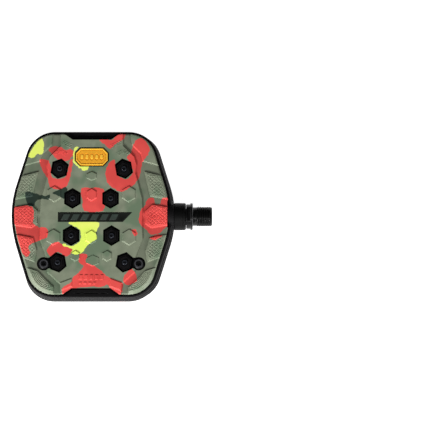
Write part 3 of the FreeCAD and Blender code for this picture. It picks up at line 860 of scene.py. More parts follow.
@dataclass(frozen=True)
class Moulding:
    """Black moulded plastic: a spark-eroded grain, flow marks along it and scuffs."""

    name: str
    colour: Colour
    grain: float = 0.25
    roughness: float = 0.5
    scuff: float = 0.25
    specular: float = 0.35

    def material(self) -> bpy.types.Material:
        """Makes the material."""
        shader = Shader(self.name)
        grain = shader.noise(self.grain, 3.0)
        cloud = shader.noise(14.0, 3.0)
        flow = shader.noise(1.6, 2.0, shader.stretched(0.25, 1.0, 2.5))
        marks = flow.between(0.6, 0.72) * cloud.between(0.4, 0.65) * self.scuff
        tone = shader.mix(cloud, scaled(self.colour, 0.8), scaled(self.colour, 1.25))
        shader.feed(shader.surface, {
            "Base Color": shader.mix(marks, tone, scaled(self.colour, 3.0)),
            "Roughness": self.roughness + 0.16 * grain - 0.1 * cloud + 0.2 * marks,
            "Normal": shader.bump(grain, 0.02, 0.5),
            "Specular IOR Level": self.specular,
        })
        return shader.material


@dataclass(frozen=True)
class Metal:
    """Turned or ground metal: tool marks round the axis, a little tarnish and bright worn spots."""

    name: str
    colour: Colour
    metallic: float = 1.0
    roughness: float = 0.35
    marks: float = 0.35
    wear: float = 0.15
    worn: Colour = (0.35, 0.35, 0.36)
    specular: float = 0.5

    def material(self) -> bpy.types.Material:
        """Makes the material."""
        shader = Shader(self.name)
        tool = shader.noise(self.marks, 2.0, shader.stretched(1.0, 0.05, 0.05))
        cloud = shader.noise(4.0, 4.0)
        fine = shader.noise(0.5, 3.0)
        rubbed = fine.between(0.56, 0.72) * cloud.between(0.45, 0.7) * self.wear
        tone = shader.mix(cloud, scaled(self.colour, 0.75), scaled(self.colour, 1.3))
        bare = 1 - self.metallic
        shader.feed(shader.surface, {
            "Base Color": shader.mix(rubbed, tone, self.worn),
            "Metallic": self.metallic + bare * rubbed if bare else self.metallic,
            "Roughness": self.roughness + 0.15 * tool - 0.12 * cloud,
            "Normal": shader.bump(tool, 0.01, 0.4),
            "Specular IOR Level": self.specular,
        })
        return shader.material


@dataclass(frozen=True)
class Resin:
    """Amber resin with faint clouding and fine scratches, and painted shade where it is sunk."""

    name: str
    colour: Colour
    shade: Colour
    relief_heights: tuple[float, float] = (9.7, 9.98)

    def material(self) -> bpy.types.Material:
        """Makes the material."""
        shader = Shader(self.name)
        cloud = shader.noise(3.0, 3.0)
        scratch = shader.noise(0.6, 2.0, shader.stretched(0.2, 2.0, 1.0))
        marks = scratch.between(0.62, 0.7) * 0.2
        # Painted shade: the colour darkens towards the shade colour where the badge is sunk.
        low, high = self.relief_heights
        height = shader.level().between(low * MM, high * MM)
        tone = shader.mix(cloud * 0.5 + 0.2 * (1 - height), self.colour, self.shade)
        shader.feed(shader.surface, {
            "Base Color": shader.mix(1 - height, tone, self.shade),
            "Roughness": 0.46 + 0.3 * marks,
            "Normal": shader.bump(scratch, 0.005, 0.5),
            "Specular IOR Level": 0.25,
            "Coat Weight": 0.04,
            "Coat Roughness": 0.35,
        })
        return shader.material


class Finish(Enum):
    """Every finish of the pedal."""

    BODY = Moulding("body_composite", srgb(18, 17, 18), roughness=0.5, specular=0.08)
    CARRIER = Moulding("carrier_plastic", srgb(10, 10, 11), roughness=0.7, specular=0.1)
    FOOT = Moulding("badge_foot_black", srgb(14, 14, 14), roughness=0.6, scuff=0.1, specular=0.2)
    SAGE = Rubber("tread_rubber_sage", srgb(127, 135, 114), srgb(104, 122, 98), mottle=0.16)
    CORAL = Rubber("tread_rubber_coral", srgb(229, 80, 75), srgb(219, 73, 69), mottle=0.08)
    LIME = Rubber("tread_rubber_lime", srgb(238, 255, 116), srgb(230, 252, 104), mottle=0.05)
    PINE = Rubber("tread_rubber_pine", srgb(40, 56, 45), srgb(34, 52, 44))
    # Painted highlight: paler rubber for the lit bevel along the near edges.
    LIT_EDGE = Rubber("tread_rubber_painted_highlight", srgb(152, 162, 140), srgb(134, 146, 122), mottle=0.14)
    # Painted shade: black for the tread's walls, where the gaps lie in shade.
    WALL_SHADE = Moulding("tread_wall_painted_shade", srgb(10, 10, 10), roughness=0.7, scuff=0.05, specular=0.1)
    BADGE = Resin("badge_amber", srgb(255, 206, 72), srgb(232, 156, 34))
    STRIP = Moulding("strip_plastic", srgb(18, 22, 18), roughness=0.5, specular=0.25)
    STRIP_FACE = Moulding("strip_face", srgb(52, 62, 56), roughness=0.45, specular=0.3)
    SCREW = Metal("screw_black", srgb(18, 18, 19), metallic=0.1, roughness=0.45, specular=0.2, wear=0.05)
    # Painted highlight: lighter grey on the flat top of the black screw head, where light falls.
    SCREW_FACE = Metal("screw_painted_highlight", srgb(70, 70, 74), metallic=0.3, roughness=0.38, specular=0.3)
    PIN = Metal("pin_black", srgb(34, 37, 44), metallic=0.3, roughness=0.3, specular=0.4)
    SPINDLE = Metal("spindle_black", srgb(9, 9, 9), metallic=0.0, roughness=0.28, specular=0.2, wear=0.05)
    # Painted highlight: lighter grey for the spindle's flange and neck chamfers, where glints fall.
    SPINDLE_EDGE = Metal("spindle_painted_highlight", srgb(60, 60, 62), metallic=0.6, roughness=0.22, wear=0.3)
    COLLAR = Metal("collar_black", srgb(9, 9, 9), metallic=0.0, roughness=0.45, wear=0.02, specular=0.08)
    SEAL = Moulding("seal_rubber", srgb(18, 18, 18), roughness=0.6)
    BUSHING = Moulding("bushing_polymer", srgb(196, 176, 128), roughness=0.5, scuff=0.1)
    SLEEVE = Metal("sleeve_aluminium", srgb(190, 192, 196), roughness=0.35)
    NUT = Metal("nut_steel", srgb(150, 150, 152), roughness=0.4)
    BEARING = Metal("bearing_steel", srgb(176, 178, 182), roughness=0.2)
    CAGE = Moulding("cage_nylon", srgb(214, 206, 184), roughness=0.5, scuff=0.05)


class Paints:
    """The materials, each made once."""

    def __init__(self) -> None:
        """Starts with none."""
        self.made: dict[Finish, bpy.types.Material] = {}

    def get(self, finish: Finish) -> bpy.types.Material:
        """The material of a finish."""
        if finish not in self.made:
            self.made[finish] = finish.value.material()
        return self.made[finish]

    def dress(self, piece: bpy.types.Object, slot: str, *finishes: Finish) -> None:
        """Gives a piece its finishes.

        Args:
            piece: The object.
            slot: Not used.
            finishes: One finish for each place in the mesh's list of materials.
        """
        for finish in finishes:
            piece.data.materials.append(self.get(finish))


def settle(piece: bpy.types.Object, body: str, *nodes: str) -> None:
    """Puts a piece on its body in place of its CAD nodes, and reports it.

    Args:
        piece: The finished object.
        body: The body that it moves with.
        nodes: The CAD nodes that it stands for.
    """
    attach(piece, body)
    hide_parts(*nodes)
    log.info("%s: %d faces, rides on %s", piece.name, len(piece.data.polygons), body)


@dataclass
class FacePieces:
    """Pieces that both faces of the platform carry alike."""

    paints: Paints
    origin: float

    def place(
        self, mesh: Mesh, name: str, node: str, slot: str, finishes: Sequence[Finish], crease: float = 28.0
    ) -> None:
        """Makes a piece for each face and puts it on the platform.

        Args:
            mesh: The piece with the top face up.
            name: The pieces' name after the word for the face.
            node: The CAD nodes' name after that word.
            slot: Not used; it is passed on to dress.
            finishes: One finish for each place in the mesh's list of materials.
            crease: Angle in degrees above which an edge is shaded as sharp.
        """
        for face, shape in ((Face.TOP, mesh), (Face.BOTTOM, mesh.turned_over())):
            piece = shape.piece(f"{face.value}_{name}", self.origin, crease)
            self.paints.dress(piece, slot, *finishes)
            settle(piece, "platform", f"{face.value}_{node}")


# The platform


@dataclass(frozen=True)
class PlatformOutline:
    """The platform seen from above: a hexagon with rounded corners, widest on the spindle's axis."""

    half_length: float = 60.8
    half_width: float = 60.5
    side_slope: float = 0.3057
    corner_radius: float = 21.1
    waist_radius: float = 74.5
    arc_steps: int = 16
    side_steps: int = 5

    def loop(self, gap: float = 0.0) -> Loop:
        """The outline, moved inwards all round by a gap."""
        length = self.half_length - gap
        width = self.half_width - gap * math.hypot(self.side_slope, 1)
        corner = width - length * self.side_slope
        corners = [(-corner, length), (corner, length), (width, 0)]
        corners += [(-x, -y) for x, y in corners]
        turn, waist = self.corner_radius - gap, self.waist_radius - gap
        return rounded(corners, (turn, turn, waist) * 2, self.arc_steps, self.side_steps)


@dataclass(frozen=True)
class PinRow:
    """A pair of grip pins, one each side of the platform's middle."""

    x: float
    y: float
    slant: float

    def sides(self) -> list[Spot]:
        """Place and slant of the right pin and of the left one."""
        return [(self.x, self.y, self.slant), (-self.x, self.y, -self.slant)]


@dataclass(frozen=True)
class Layout:
    """What the platform, the treads and the fasteners share."""

    outline: PlatformOutline = PlatformOutline()
    pin_rows: tuple[PinRow, ...] = (
        PinRow(23.0, 33.1, 10.0), PinRow(13.6, 11.2, 0.0),
        PinRow(14.4, -16.1, 0.0), PinRow(23.9, -35.7, -10.0),
    )
    opening_half_width: float = 5.95
    opening_half_height: float = 7.65
    opening_side: float = 4.1
    screw_x: float = 33.8
    screw_y: float = -36.5
    notch_half_width: float = 13.8
    notch_start: float = 54.5
    notch_flare: float = 1.43
    boss_face: float = 59.1
    boss_radius: float = 9.9
    barrel_radius: float = 8.5
    barrel_end: float = 42.5

    def pins(self) -> list[Spot]:
        """Place and slant of all eight pins of a face."""
        return [place for row in self.pin_rows for place in row.sides()]

    def screws(self) -> list[Point]:
        """Places of the two tread screws of a face."""
        return [(self.screw_x, self.screw_y), (-self.screw_x, self.screw_y)]

    def pin_hexagon(self, pin: Spot, margin: float) -> Loop:
        """The hexagon of a pin, inside its opening in the tread by a margin."""
        x, y, slant = pin
        half_width = self.opening_half_width - margin
        half_height = self.opening_half_height - margin * 1.15
        return hexagon(x, y, half_width, half_height, self.opening_side - margin * 0.55, slant)

    def notch(self, gap: float, end: float, sign: int) -> Loop:
        """The trapezoid at the front (sign 1) or rear (sign -1) edge, that far inside the tread's own."""
        inner, start = self.notch_half_width - gap, self.notch_start + gap
        outer = inner + (end - start) * self.notch_flare
        return [(-inner, start * sign), (inner, start * sign), (outer, end * sign), (-outer, end * sign)]


@dataclass
class Platform:
    """The black moulded platform: rim, flank, decks, lands, pin seats, barrel and bore."""

    layout: Layout
    paints: Paints
    origin: float
    rim_height: float = 7.7
    lip_width: float = 1.25
    deck_height: float = 6.5
    flank_width: float = 2.6
    flank_start: float = 8.0
    seat_height: float = 8.9
    crown_height: float = 9.4
    dish_radius: float = 2.75
    land_end: float = 59.8
    panel_end: float = 58.1
    panel_depth: float = 0.4
    bar_places: tuple[float, ...] = (-11.4, -6.2, 6.2, 11.4)
    bar_width: float = 3.4
    bar_length: float = 1.4
    bar_end: float = 58.1
    hole_radius: float = 2.02
    pin_hole_floor: float = 3.35
    screw_hole_floor: float = 0.1
    boss_length: float = 4.6
    boss_chamfer: float = 0.5
    collar_bore: float = 8.02
    collar_depth: float = 5.15
    bushing_bore: float = 7.0
    bushing_end: float = 30.85
    bearing_bore: float = 6.2
    bearing_end: float = 38.65
    wall_rings: tuple[tuple[float, float], ...] = (
        (0.75, 7.7), (0.42, 7.64), (0.14, 7.42), (0.0, 7.05), (0.0, 5.3), (0.5, 5.0), (0.5, 4.3), (0.0, 4.0),
        (0.0, 2.3), (0.28, 2.1), (0.28, 1.75), (0.0, 1.55), (0.0, 0.55), (0.22, 0.35), (0.22, 0.0),
    )

    def wall(self) -> tuple[Mesh, Loop]:
        """The outer wall from the top rim round to the bottom one, with shallow lines along it.

        Returns:
            The wall, and its top edge, which the deck shares.
        """
        upper = list(self.wall_rings)
        profile = upper + [(gap, -height) for gap, height in reversed(upper[:-1])]
        rings = []
        for gap, height in profile:
            lean = self.flank_width * (1 - abs(height) / self.rim_height)
            ring = []
            for x, y in self.layout.outline.loop(gap):
                side = min(max(x / self.flank_start, 0), 1)
                ring.append((min(x + lean * side, self.layout.boss_face), y, height))
            rings.append(ring)
        count = len(rings[0])
        faces = []
        for i in range(len(rings) - 1):
            here, there = i * count, (i + 1) * count
            for k in range(count):
                after = (k + 1) % count
                faces.append((here + k, here + after, there + after, there + k))
        mesh = Mesh()
        mesh.add([point for ring in rings for point in ring], faces)
        return mesh, [(x, y) for x, y, _ in rings[0]]

    def land(self, sign: int) -> list[Facet]:
        """The land at the front (sign 1) or rear (sign -1) edge: a sunk panel with a few bars."""
        panel = inset(self.layout.notch(2.1, self.panel_end + 0.5, sign), 0.5)
        facets = [Facet(self.layout.notch(0.45, self.land_end, sign), self.rim_height, 0.25)]
        facets.append(Facet(panel, self.rim_height - self.panel_depth, 0.25))
        low = min((self.bar_end - self.bar_length) * sign, self.bar_end * sign)
        for x in self.bar_places:
            bar = slanted_bar(x - self.bar_width / 2, low, self.bar_width, self.bar_length, 0.0)
            facets.append(Facet(bar, self.rim_height + 0.15, 0.55))
        return facets

    def seat(self, pin: Spot) -> list[Facet]:
        """The stepped hexagon that a grip pin stands in, with its hole."""
        hexagon_inside = self.layout.pin_hexagon
        x, y, _ = pin
        return [
            Facet(hexagon_inside(pin, 1.2), self.seat_height, 0.25),
            Facet(hexagon_inside(pin, 2.1), self.seat_height - 0.3, 0.12),
            Facet(hexagon_inside(pin, 2.4), self.crown_height, 0.2),
            Facet(circle(x, y, self.dish_radius), self.crown_height - 0.3, 0.35),
            Facet(circle(x, y, self.hole_radius), self.pin_hole_floor, 0.03),
        ]

    def deck(self, edge: Loop) -> Plate:
        """One face of the platform inside the wall's edge."""
        layout = self.layout
        facets = [Facet(layout.outline.loop(self.lip_width), self.deck_height, 0.25)]
        for sign in (1, -1):
            facets += self.land(sign)
        for pin in layout.pins():
            facets += self.seat(pin)
        for x, y in layout.screws():
            facets.append(Facet(circle(x, y, self.hole_radius), self.screw_hole_floor, 0.03))
        return Plate(edge, self.rim_height, facets)

    def shell(self) -> Mesh:
        """The platform without its barrel and bore."""
        mesh, edge = self.wall()
        plate = self.deck(edge)
        points, faces, _ = plate.top()
        top = Mesh()
        top.add(np.column_stack((points, plate.heights(points))), faces)
        for part in (top, top.turned_over()):
            mesh.add(part.points, part.faces)
        return mesh

    def barrel(self) -> Mesh:
        """The barrel for the bearings and the boss at its mouth."""
        layout, chamfer = self.layout, self.boss_chamfer
        mouth, boss = layout.boss_face, layout.boss_radius
        shoulder = mouth - self.boss_length
        rings = [(mouth, boss - chamfer), (mouth - chamfer, boss), (shoulder, boss)]
        rings += [(shoulder - 1.4, layout.barrel_radius), (-layout.barrel_end, layout.barrel_radius)]
        return turned(rings, Axis.SPINDLE, 96)

    def bore(self) -> Mesh:
        """The space inside the barrel."""
        mouth, collar, lead = self.layout.boss_face, self.collar_bore, 0.28
        step = mouth - self.collar_depth
        rings = [(mouth + 2.0, collar + lead), (mouth, collar + lead), (mouth - lead, collar)]
        rings += [(step, collar), (step, self.bushing_bore), (-self.bushing_end, self.bushing_bore)]
        rings += [(-self.bushing_end, self.bearing_bore), (-self.bearing_end, self.bearing_bore)]
        return turned(rings, Axis.SPINDLE, 96)

    def build(self) -> None:
        """Makes the platform and puts it on its body."""
        piece = self.shell().piece("moulded_platform", self.origin)
        combine(piece, self.barrel().piece("barrel_tool", self.origin), "UNION")
        combine(piece, self.bore().piece("bore_tool", self.origin), "DIFFERENCE")
        self.paints.dress(piece, "body_composite", Finish.BODY)
        settle(piece, "platform", "platform_body")


# The treads


@dataclass
class Tread(FacePieces):
    """The rubber tread of each face, moulded in four colours, with painted shade on its walls and a painted
    highlight along its near edges.
    """

    layout: Layout
    gap: float = 1.9
    channel_level: float = 8.5
    field_level: float = 9.6
    pad_level: float = 9.4
    lug_level: float = 10.25
    floor_level: float = 7.7
    barrel_clearance: float = 0.1
    edge_width: float = 0.9
    edge_drop: float = 0.6
    lobe_width: float = 2.2
    lobe_drop: float = 1.0
    recess_radius: float = 4.9
    neck_half: float = 4.0
    mouth_edge: float = 54.1
    bevel: float = 0.75
    texture_inset: float = 1.1
    seat_clearance: float = 0.15
    # Where the painted highlight along the near edges begins, and how it widens towards the corners.
    lit_edge_side: float = 25.0
    lit_edge_start: float = -8.0
    lit_edge_growth: float = -30.0
    near_lobe: tuple[Point, ...] = (
        (37.9, -41.5), (62.0, -33.6), (62.0, -64.0), (26.3, -64.0), (26.3, -53.4), (32.4, -47.5),
    )
    far_lobe: tuple[Point, ...] = (
        (27.0, 64.0), (28.4, 50.7), (34.8, 44.1), (36.2, 38.5), (62.0, 31.3), (62.0, 64.0),
    )
    lugs: tuple[tuple[float, float, float, float], ...] = (
        (26.6, 14.4, 5.1, 6.3), (27.0, -17.3, 5.1, 6.3), (11.3, -31.0, 3.6, 4.4),
    )
    middle_lugs: tuple[tuple[float, float, float, float], ...] = (
        (0.0, 13.8, 3.8, 5.0), (0.0, -17.3, 4.2, 5.4), (0.0, 27.6, 3.8, 3.6),
    )

    def outline(self) -> Loop:
        """The tread's edge, before the notches are cut."""
        return self.layout.outline.loop(self.gap)

    def field_facet(self) -> Facet:
        """The broad middle of the tread, between the side pads."""
        right = [(21.6, -64), (22.3, -51.6), (31.5, -43), (32.4, -31.3), (37.1, -18.5), (36.6, -8)]
        right += [(36.9, 2.5), (36.6, 10.8), (31.6, 30.1), (32.5, 36), (30.5, 42.5)]
        right += [(22.7, 50.4), (22.3, 64)]
        return Facet(right + mirrored(reversed(right)), self.field_level, self.bevel)

    def pads(self) -> list[Facet]:
        """The knurled pads along both sides and in the four corners."""
        knurl = Knurl()
        textured = (
            ([(37.4, 31.6), (62, 25.1), (62, 8.9), (41.7, 12.8)], knurl),
            ([(43.1, 7.3), (62, 3.9), (62, -7.4), (42.5, -10.7), (38.2, -7.4), (38.2, 2.5)], knurl),
            ([(41.2, -17.3), (62, -13.1), (62, -27.3), (39.8, -35.7), (38.4, -26.9)], knurl),
            (self.near_lobe, Ribs(self.outline())),
            (self.far_lobe, None),
        )
        facets = []
        for shape, texture in textured:
            for loop in (list(shape), mirrored(shape)):
                facets.append(Facet(loop, self.pad_level, self.bevel))
                facets.append(Facet(inset(loop, self.texture_inset), self.pad_level, 0.1, texture))
        return facets

    def falls(self) -> list[Fall]:
        """The falls towards the tread's edge: narrow all round, broad on each near lobe."""
        falls = [Fall(inset(self.outline(), -2), self.edge_width, self.edge_drop)]
        for lobe in (list(self.near_lobe), mirrored(self.near_lobe)):
            falls.append(Fall(lobe, self.lobe_width, self.lobe_drop))
        return falls

    def raised(self) -> list[Facet]:
        """Raised hexagons, end blocks and bars."""
        facets = []
        for x, y, half_width, half_height in self.lugs:
            loop = hexagon(x, y, half_width, half_height, half_height / 2)
            facets += [Facet(side, self.lug_level, self.bevel) for side in (loop, mirrored(loop))]
        for x, y, half_width, half_height in self.middle_lugs:
            loop = hexagon(x, y, half_width, half_height, half_height / 2)
            facets.append(Facet(loop, self.lug_level, 0.65))
        facets.append(Facet(hexagon(1.2, -34.4, 4.6, 4.4, 2.3), 9.95, 0.6))
        for k in range(3):
            line = [(13.4 + 0.5 * k, 50.6 - k), (20.6 + 0.5 * k, 54.1 - k), (20.8 + 0.5 * k, 53.7 - k)]
            line.append((13.6 + 0.5 * k, 50.2 - k))
            arc = [(18.6 - 0.5 * k, 42.6 + k), (22.4, 45.4 + k), (26.4, 43.6 + k)]
            arc += [(x, y - 0.45) for x, y in reversed(arc)]
            for loop in (line, mirrored(line), arc, mirrored(arc)):
                facets.append(Facet(loop, self.field_level + 0.2, 0.12))
        block = [(13.2, -46.6), (22.6, -50.2), (21.6, -57.2), (12.8, -53.6)]
        for loop in (block, mirrored(block)):
            facets.append(Facet(loop, 10.2, 1.1))
        for k in range(5):
            facets.append(Facet(slanted_bar(-8.6 + 3.7 * k, -48.4, 2.3, 3.6, 0.5), 10.05, 0.3))
        for k in range(4):
            facets.append(Facet(slanted_bar(-8.9 + 3.4 * k, -51.6, 2.3, 1.5, 0.2), 9.95, 0.25))
        return facets

    def seats(self) -> list[Facet]:
        """The sunk seats of the badge and the strip."""
        sunk = ((Badge.outline(0.0), Badge.bottom), (CentreStrip.outline(), CentreStrip.bottom))
        return [Facet(inset(loop, -self.seat_clearance), level, 0.04) for loop, level in sunk]

    def openings(self) -> list[Loop]:
        """What is cut out for the pins, the screws, the lands and the boss."""
        layout = self.layout
        found = [layout.pin_hexagon(pin, 0.0) for pin in layout.pins()]
        found += [circle(x, y, self.recess_radius) for x, y in layout.screws()]
        pin, half = layout.pin_rows[-1], self.neck_half
        neck = [(pin.x, pin.y - half), (layout.screw_x, layout.screw_y - half)]
        neck += [(layout.screw_x, layout.screw_y + half), (pin.x, pin.y + half)]
        found += [neck, mirrored(neck)]
        found += [layout.notch(0.0, 62.0, sign) for sign in (1, -1)]
        edge, half = self.mouth_edge, layout.boss_radius
        found.append([(edge, half), (edge + 8, half), (edge + 8, -half), (edge, -half)])
        return found

    def patches(self) -> list[tuple[Camo, Loop]]:
        """The colours, each drawn over those before it, then the bands of painted highlight; the rest of the
        tread is sage.
        """
        drawn = (
            (Camo.LIME, [(-43.5, 46.5), (-40, 52), (-36.5, 55.5), (-34.6, 53.5), (-34.6, 46.5), (-36, 43.5),
                         (-39, 44.2), (-42, 41), (-46, 42.5)]),
            (Camo.LIME, [(-7.5, 36), (-2.5, 36), (-3, 32), (-7, 32)]),
            (Camo.CORAL, [(-31, 47.5), (-27, 49.7), (-22, 49), (-18.5, 46.5), (-15, 47.5), (-12.5, 44.5),
                          (-15, 41), (-17.5, 39), (-23, 39.5), (-26.5, 41.5)]),
            (Camo.CORAL, [(-37.5, 39.5), (-31.5, 39.5), (-29, 32.5), (-29, 27.5), (-25, 25.5), (-19, 27),
                          (-17, 32), (-15.5, 39), (-13.5, 39.5), (-15.5, 26), (-19, 18.5), (-24, 17.5),
                          (-29.5, 19.5), (-31.5, 26), (-35, 32)]),
            (Camo.CORAL, [(-7.5, 18), (-1.5, 19), (8.5, 17.5), (8.5, 2.5), (-5, 2), (-6.5, 10)]),
            (Camo.CORAL, [(5.5, 54.6), (14.5, 54.6), (20, 60), (24, 59.5), (23, 55.5), (18, 52), (13, 48),
                          (9.5, 50.5)]),
            (Camo.CORAL, [(29.5, 50.5), (32.5, 55), (36, 55.5), (39.5, 52), (41.5, 48), (40, 43),
                          (36.5, 38.5), (35.5, 34), (34, 27), (29.5, 20.5), (21.5, 16), (16, 18.5),
                          (11, 23), (10, 31.5), (13, 38), (16.5, 39.5), (17.5, 32), (20, 27), (25, 25.5),
                          (29.5, 30), (28, 37), (25, 41), (28, 45)]),
            (Camo.CORAL, [(40, 11), (44, 12), (45.5, 7.5), (49, 7.5), (50.5, 11.5), (56, 11.5), (58, 5.5),
                          (57, -6.5), (51, -11.5), (49, -14), (42.5, -15), (39, -11.5), (34, -6.5), (35, 2),
                          (38, 6)]),
            (Camo.CORAL, [(41.5, -18), (45.5, -19.5), (51, -16), (47.5, -15), (42.5, -17)]),
            (Camo.CORAL, [(28.5, -12), (31.5, -11.5), (33, -15), (30.5, -16.5)]),
            (Camo.CORAL, [(-58, 4.5), (-43.5, 5.5), (-41, -0.5), (-41.5, -6.5), (-38, -9.5), (-31.5, -11),
                          (-31.5, -17.5), (-38, -20), (-42, -22), (-45, -24.5), (-43.5, -29), (-46.5, -31.5),
                          (-49.5, -28.5), (-54, -23), (-58, -16.5), (-60, -5)]),
            (Camo.CORAL, [(-31.5, -26.5), (-28, -22.5), (-23.5, -21), (-20, -23), (-14, -26), (-14, -29),
                          (-18, -31.5), (-21.5, -29), (-24, -28), (-29, -31)]),
            (Camo.CORAL, [(-8, -30), (-2.5, -30), (-4, -35.5), (2.5, -38.5), (8, -42.5), (11.5, -46),
                          (15, -47.5), (22.5, -51), (21, -59), (15, -56), (11.5, -52), (8.5, -53.5),
                          (-2.5, -53.5), (-14, -55.5), (-20, -59), (-20, -54), (-14, -50.5), (-12.5, -46),
                          (-8.5, -43), (-5.5, -38.5), (-8.5, -35.5)]),
            (Camo.CORAL, [(23, -47), (26, -42.5), (28.5, -40), (32, -44), (32.5, -49), (27.5, -52),
                          (24, -51)]),
            (Camo.LIME, [(-16, -6.6), (5, -6.3), (3.5, -13.5), (4, -18.5), (0, -21.5), (-3, -23.5),
                         (-5.5, -27.5), (-10, -30), (-14.5, -29), (-13.5, -26), (-20, -23.5), (-19.5, -22),
                         (-14, -24), (-8, -20), (-8, -12)]),
            (Camo.PINE, [(-47.5, 16), (-40, 15), (-33.5, 13), (-30, 14), (-30.5, 10.5), (-38.5, 10.5),
                         (-41.5, 6), (-45, 6)]),
            (Camo.LIME, [(-12.2, 48.6), (-9.5, 48.9), (-11.9, 45.5), (-12.1, 41.8), (-11.9, 38.3),
                         (-8.3, 34.9), (-7.0, 33.4), (-9.0, 33.6), (-13.1, 37.8), (-13.3, 41.8),
                         (-13.2, 45.2)]),
            (Camo.PINE, [(-28, 15), (-23, 17.5), (-18.5, 19.5), (-17, 17.5), (-19, 13.5), (-18.5, 10.5),
                         (-24, 13)]),
        )
        patches = [(colour, ragged(flowing(points))) for colour, points in drawn]
        # The last patches are the bands of painted highlight along the near edges.
        return patches + [(Camo.LIT_EDGE, loop) for loop in self.lit_edge_bands()]

    def lit_edge_bands(self) -> list[Loop]:
        """A painted highlight along the tread's edge at its two near corners, a paler band that tapers off
        along both sides.
        """
        edge = self.outline()
        outer, inner = [], []
        for (x, y), (inward_x, inward_y) in zip(edge, inset(edge, 1.0)):
            if x > self.lit_edge_side and y < self.lit_edge_start:
                width = 0.45 + 1.75 * min(max((self.lit_edge_growth - y) / 14, 0), 1)
                outer.append((x, y))
                inner.append((x + (inward_x - x) * width, y + (inward_y - y) * width))
        band = outer + inner[::-1]
        return [band, mirrored(band)]

    def floor(self, points: np.ndarray) -> np.ndarray:
        """Height of the underside, which is arched over the barrel."""
        layout = self.layout
        radius = layout.barrel_radius + self.barrel_clearance
        arch = np.sqrt(np.maximum(radius**2 - points[:, 1] ** 2, 0))
        along = points[:, 0] > -layout.barrel_end - self.barrel_clearance
        return np.where(along, np.maximum(arch, self.floor_level), self.floor_level)

    def floor_lines(self) -> list[Loop]:
        """Lines along the arch, which the triangles follow."""
        half = math.sqrt((self.layout.barrel_radius + self.barrel_clearance) ** 2 - self.floor_level**2)
        end = -self.layout.barrel_end
        lines = [[(end, half * k / 3), (self.mouth_edge + 6, half * k / 3)] for k in range(-3, 4)]
        lines.append([(end, -half), (end, half)])
        lines.append([(end - 0.2, -half), (end - 0.2, half)])
        return lines

    def mesh(self) -> Mesh:
        """The tread, top face up."""
        facets = [self.field_facet(), *self.pads(), *self.raised(), *self.seats()]
        # The tread's walls take the black of painted shade.
        plate = Plate(
            self.outline(), self.channel_level, facets, self.openings(), self.patches(), self.falls(),
            self.floor, self.floor_lines(), Camo.WALL_SHADE,
        )
        return plate.closed()

    def build(self) -> None:
        """Makes the tread of both faces."""
        finishes = [Finish[colour.name] for colour in Camo]
        self.place(self.mesh(), "camouflage_tread", "tread", "tread_rubber", finishes, 15.0)


@dataclass
class Badge(FacePieces):
    """The amber plate near the front edge: a dark foot, a border and a sunk field of small hexagons."""

    bottom: float = 8.6
    foot: float = 9.15
    top: float = 10.1
    field_level: float = 9.65
    flange: float = 0.75
    border: float = 0.8
    hexagons: int = 5
    pitch: float = 3.5
    middle: ClassVar[float] = 41.8

    @classmethod
    def outline(cls, gap: float) -> Loop:
        """An octagon, inside the foot's edge by a gap."""
        right = [(8.3, 7.0), (12.2, 2.9), (12.2, -2.9), (8.3, -7.0)]
        return inset([(x, cls.middle + y) for x, y in right + mirrored(reversed(right))], gap)

    def build(self) -> None:
        """Makes the badge of both faces."""
        plate_edge, rim = self.outline(self.flange), self.flange + self.border
        facets = [Facet(plate_edge, self.top, 0.25), Facet(self.outline(rim), self.field_level, 0.25)]
        facets.append(Facet(self.outline(rim + 0.6), self.field_level + 0.15, 0.15))
        for k in range(self.hexagons):
            x = (k - (self.hexagons - 1) / 2) * self.pitch
            facets.append(Facet(hexagon(x, self.middle, 1.6, 2.9, 1.6), self.field_level - 0.05, 0.15))
            facets.append(Facet(hexagon(x, self.middle, 1.1, 2.1, 1.1), self.top - 0.1, 0.3))
        amber = [(Zone.ACCENT, plate_edge)]
        plate = Plate(self.outline(0.0), self.foot, facets, colours=amber, floor=self.bottom)
        self.place(plate.closed(), "amber_badge", "badge", "badge_amber", (Finish.FOOT, Finish.BADGE))


@dataclass
class CentreStrip(FacePieces):
    """The dark bar on the centre line, with a row of slanted blocks."""

    bottom: float = 9.2
    top: float = 9.8
    blocks: int = 6
    pitch: float = 6.9

    @staticmethod
    def outline() -> Loop:
        """The bar's edge: square at one end and raked at the other."""
        left, right, top, bottom, rake = -23.8, 28.9, 1.0, -6.0, 6.5
        return [(left, top), (right, top), (right - rake, bottom), (left, bottom)]

    def build(self) -> None:
        """Makes the strip of both faces."""
        outline = self.outline()
        facets = [Facet(outline, self.top - 0.15, 0.3), Facet(inset(outline, 0.8), self.top - 0.4, 0.2)]
        blocks = [slanted_bar(-22.2 + self.pitch * k, -4.8, 5.2, 4.6, 2.3) for k in range(self.blocks)]
        facets += [Facet(block, self.top, 0.3) for block in blocks]
        pale = [(Zone.ACCENT, inset(block, 0.3)) for block in blocks]
        plate = Plate(outline, self.top - 0.3, facets, colours=pale, floor=self.bottom)
        finishes = (Finish.STRIP, Finish.STRIP_FACE)
        self.place(plate.closed(), "dark_centre_strip", "centre_strip", "strip_plastic", finishes)


# Fasteners


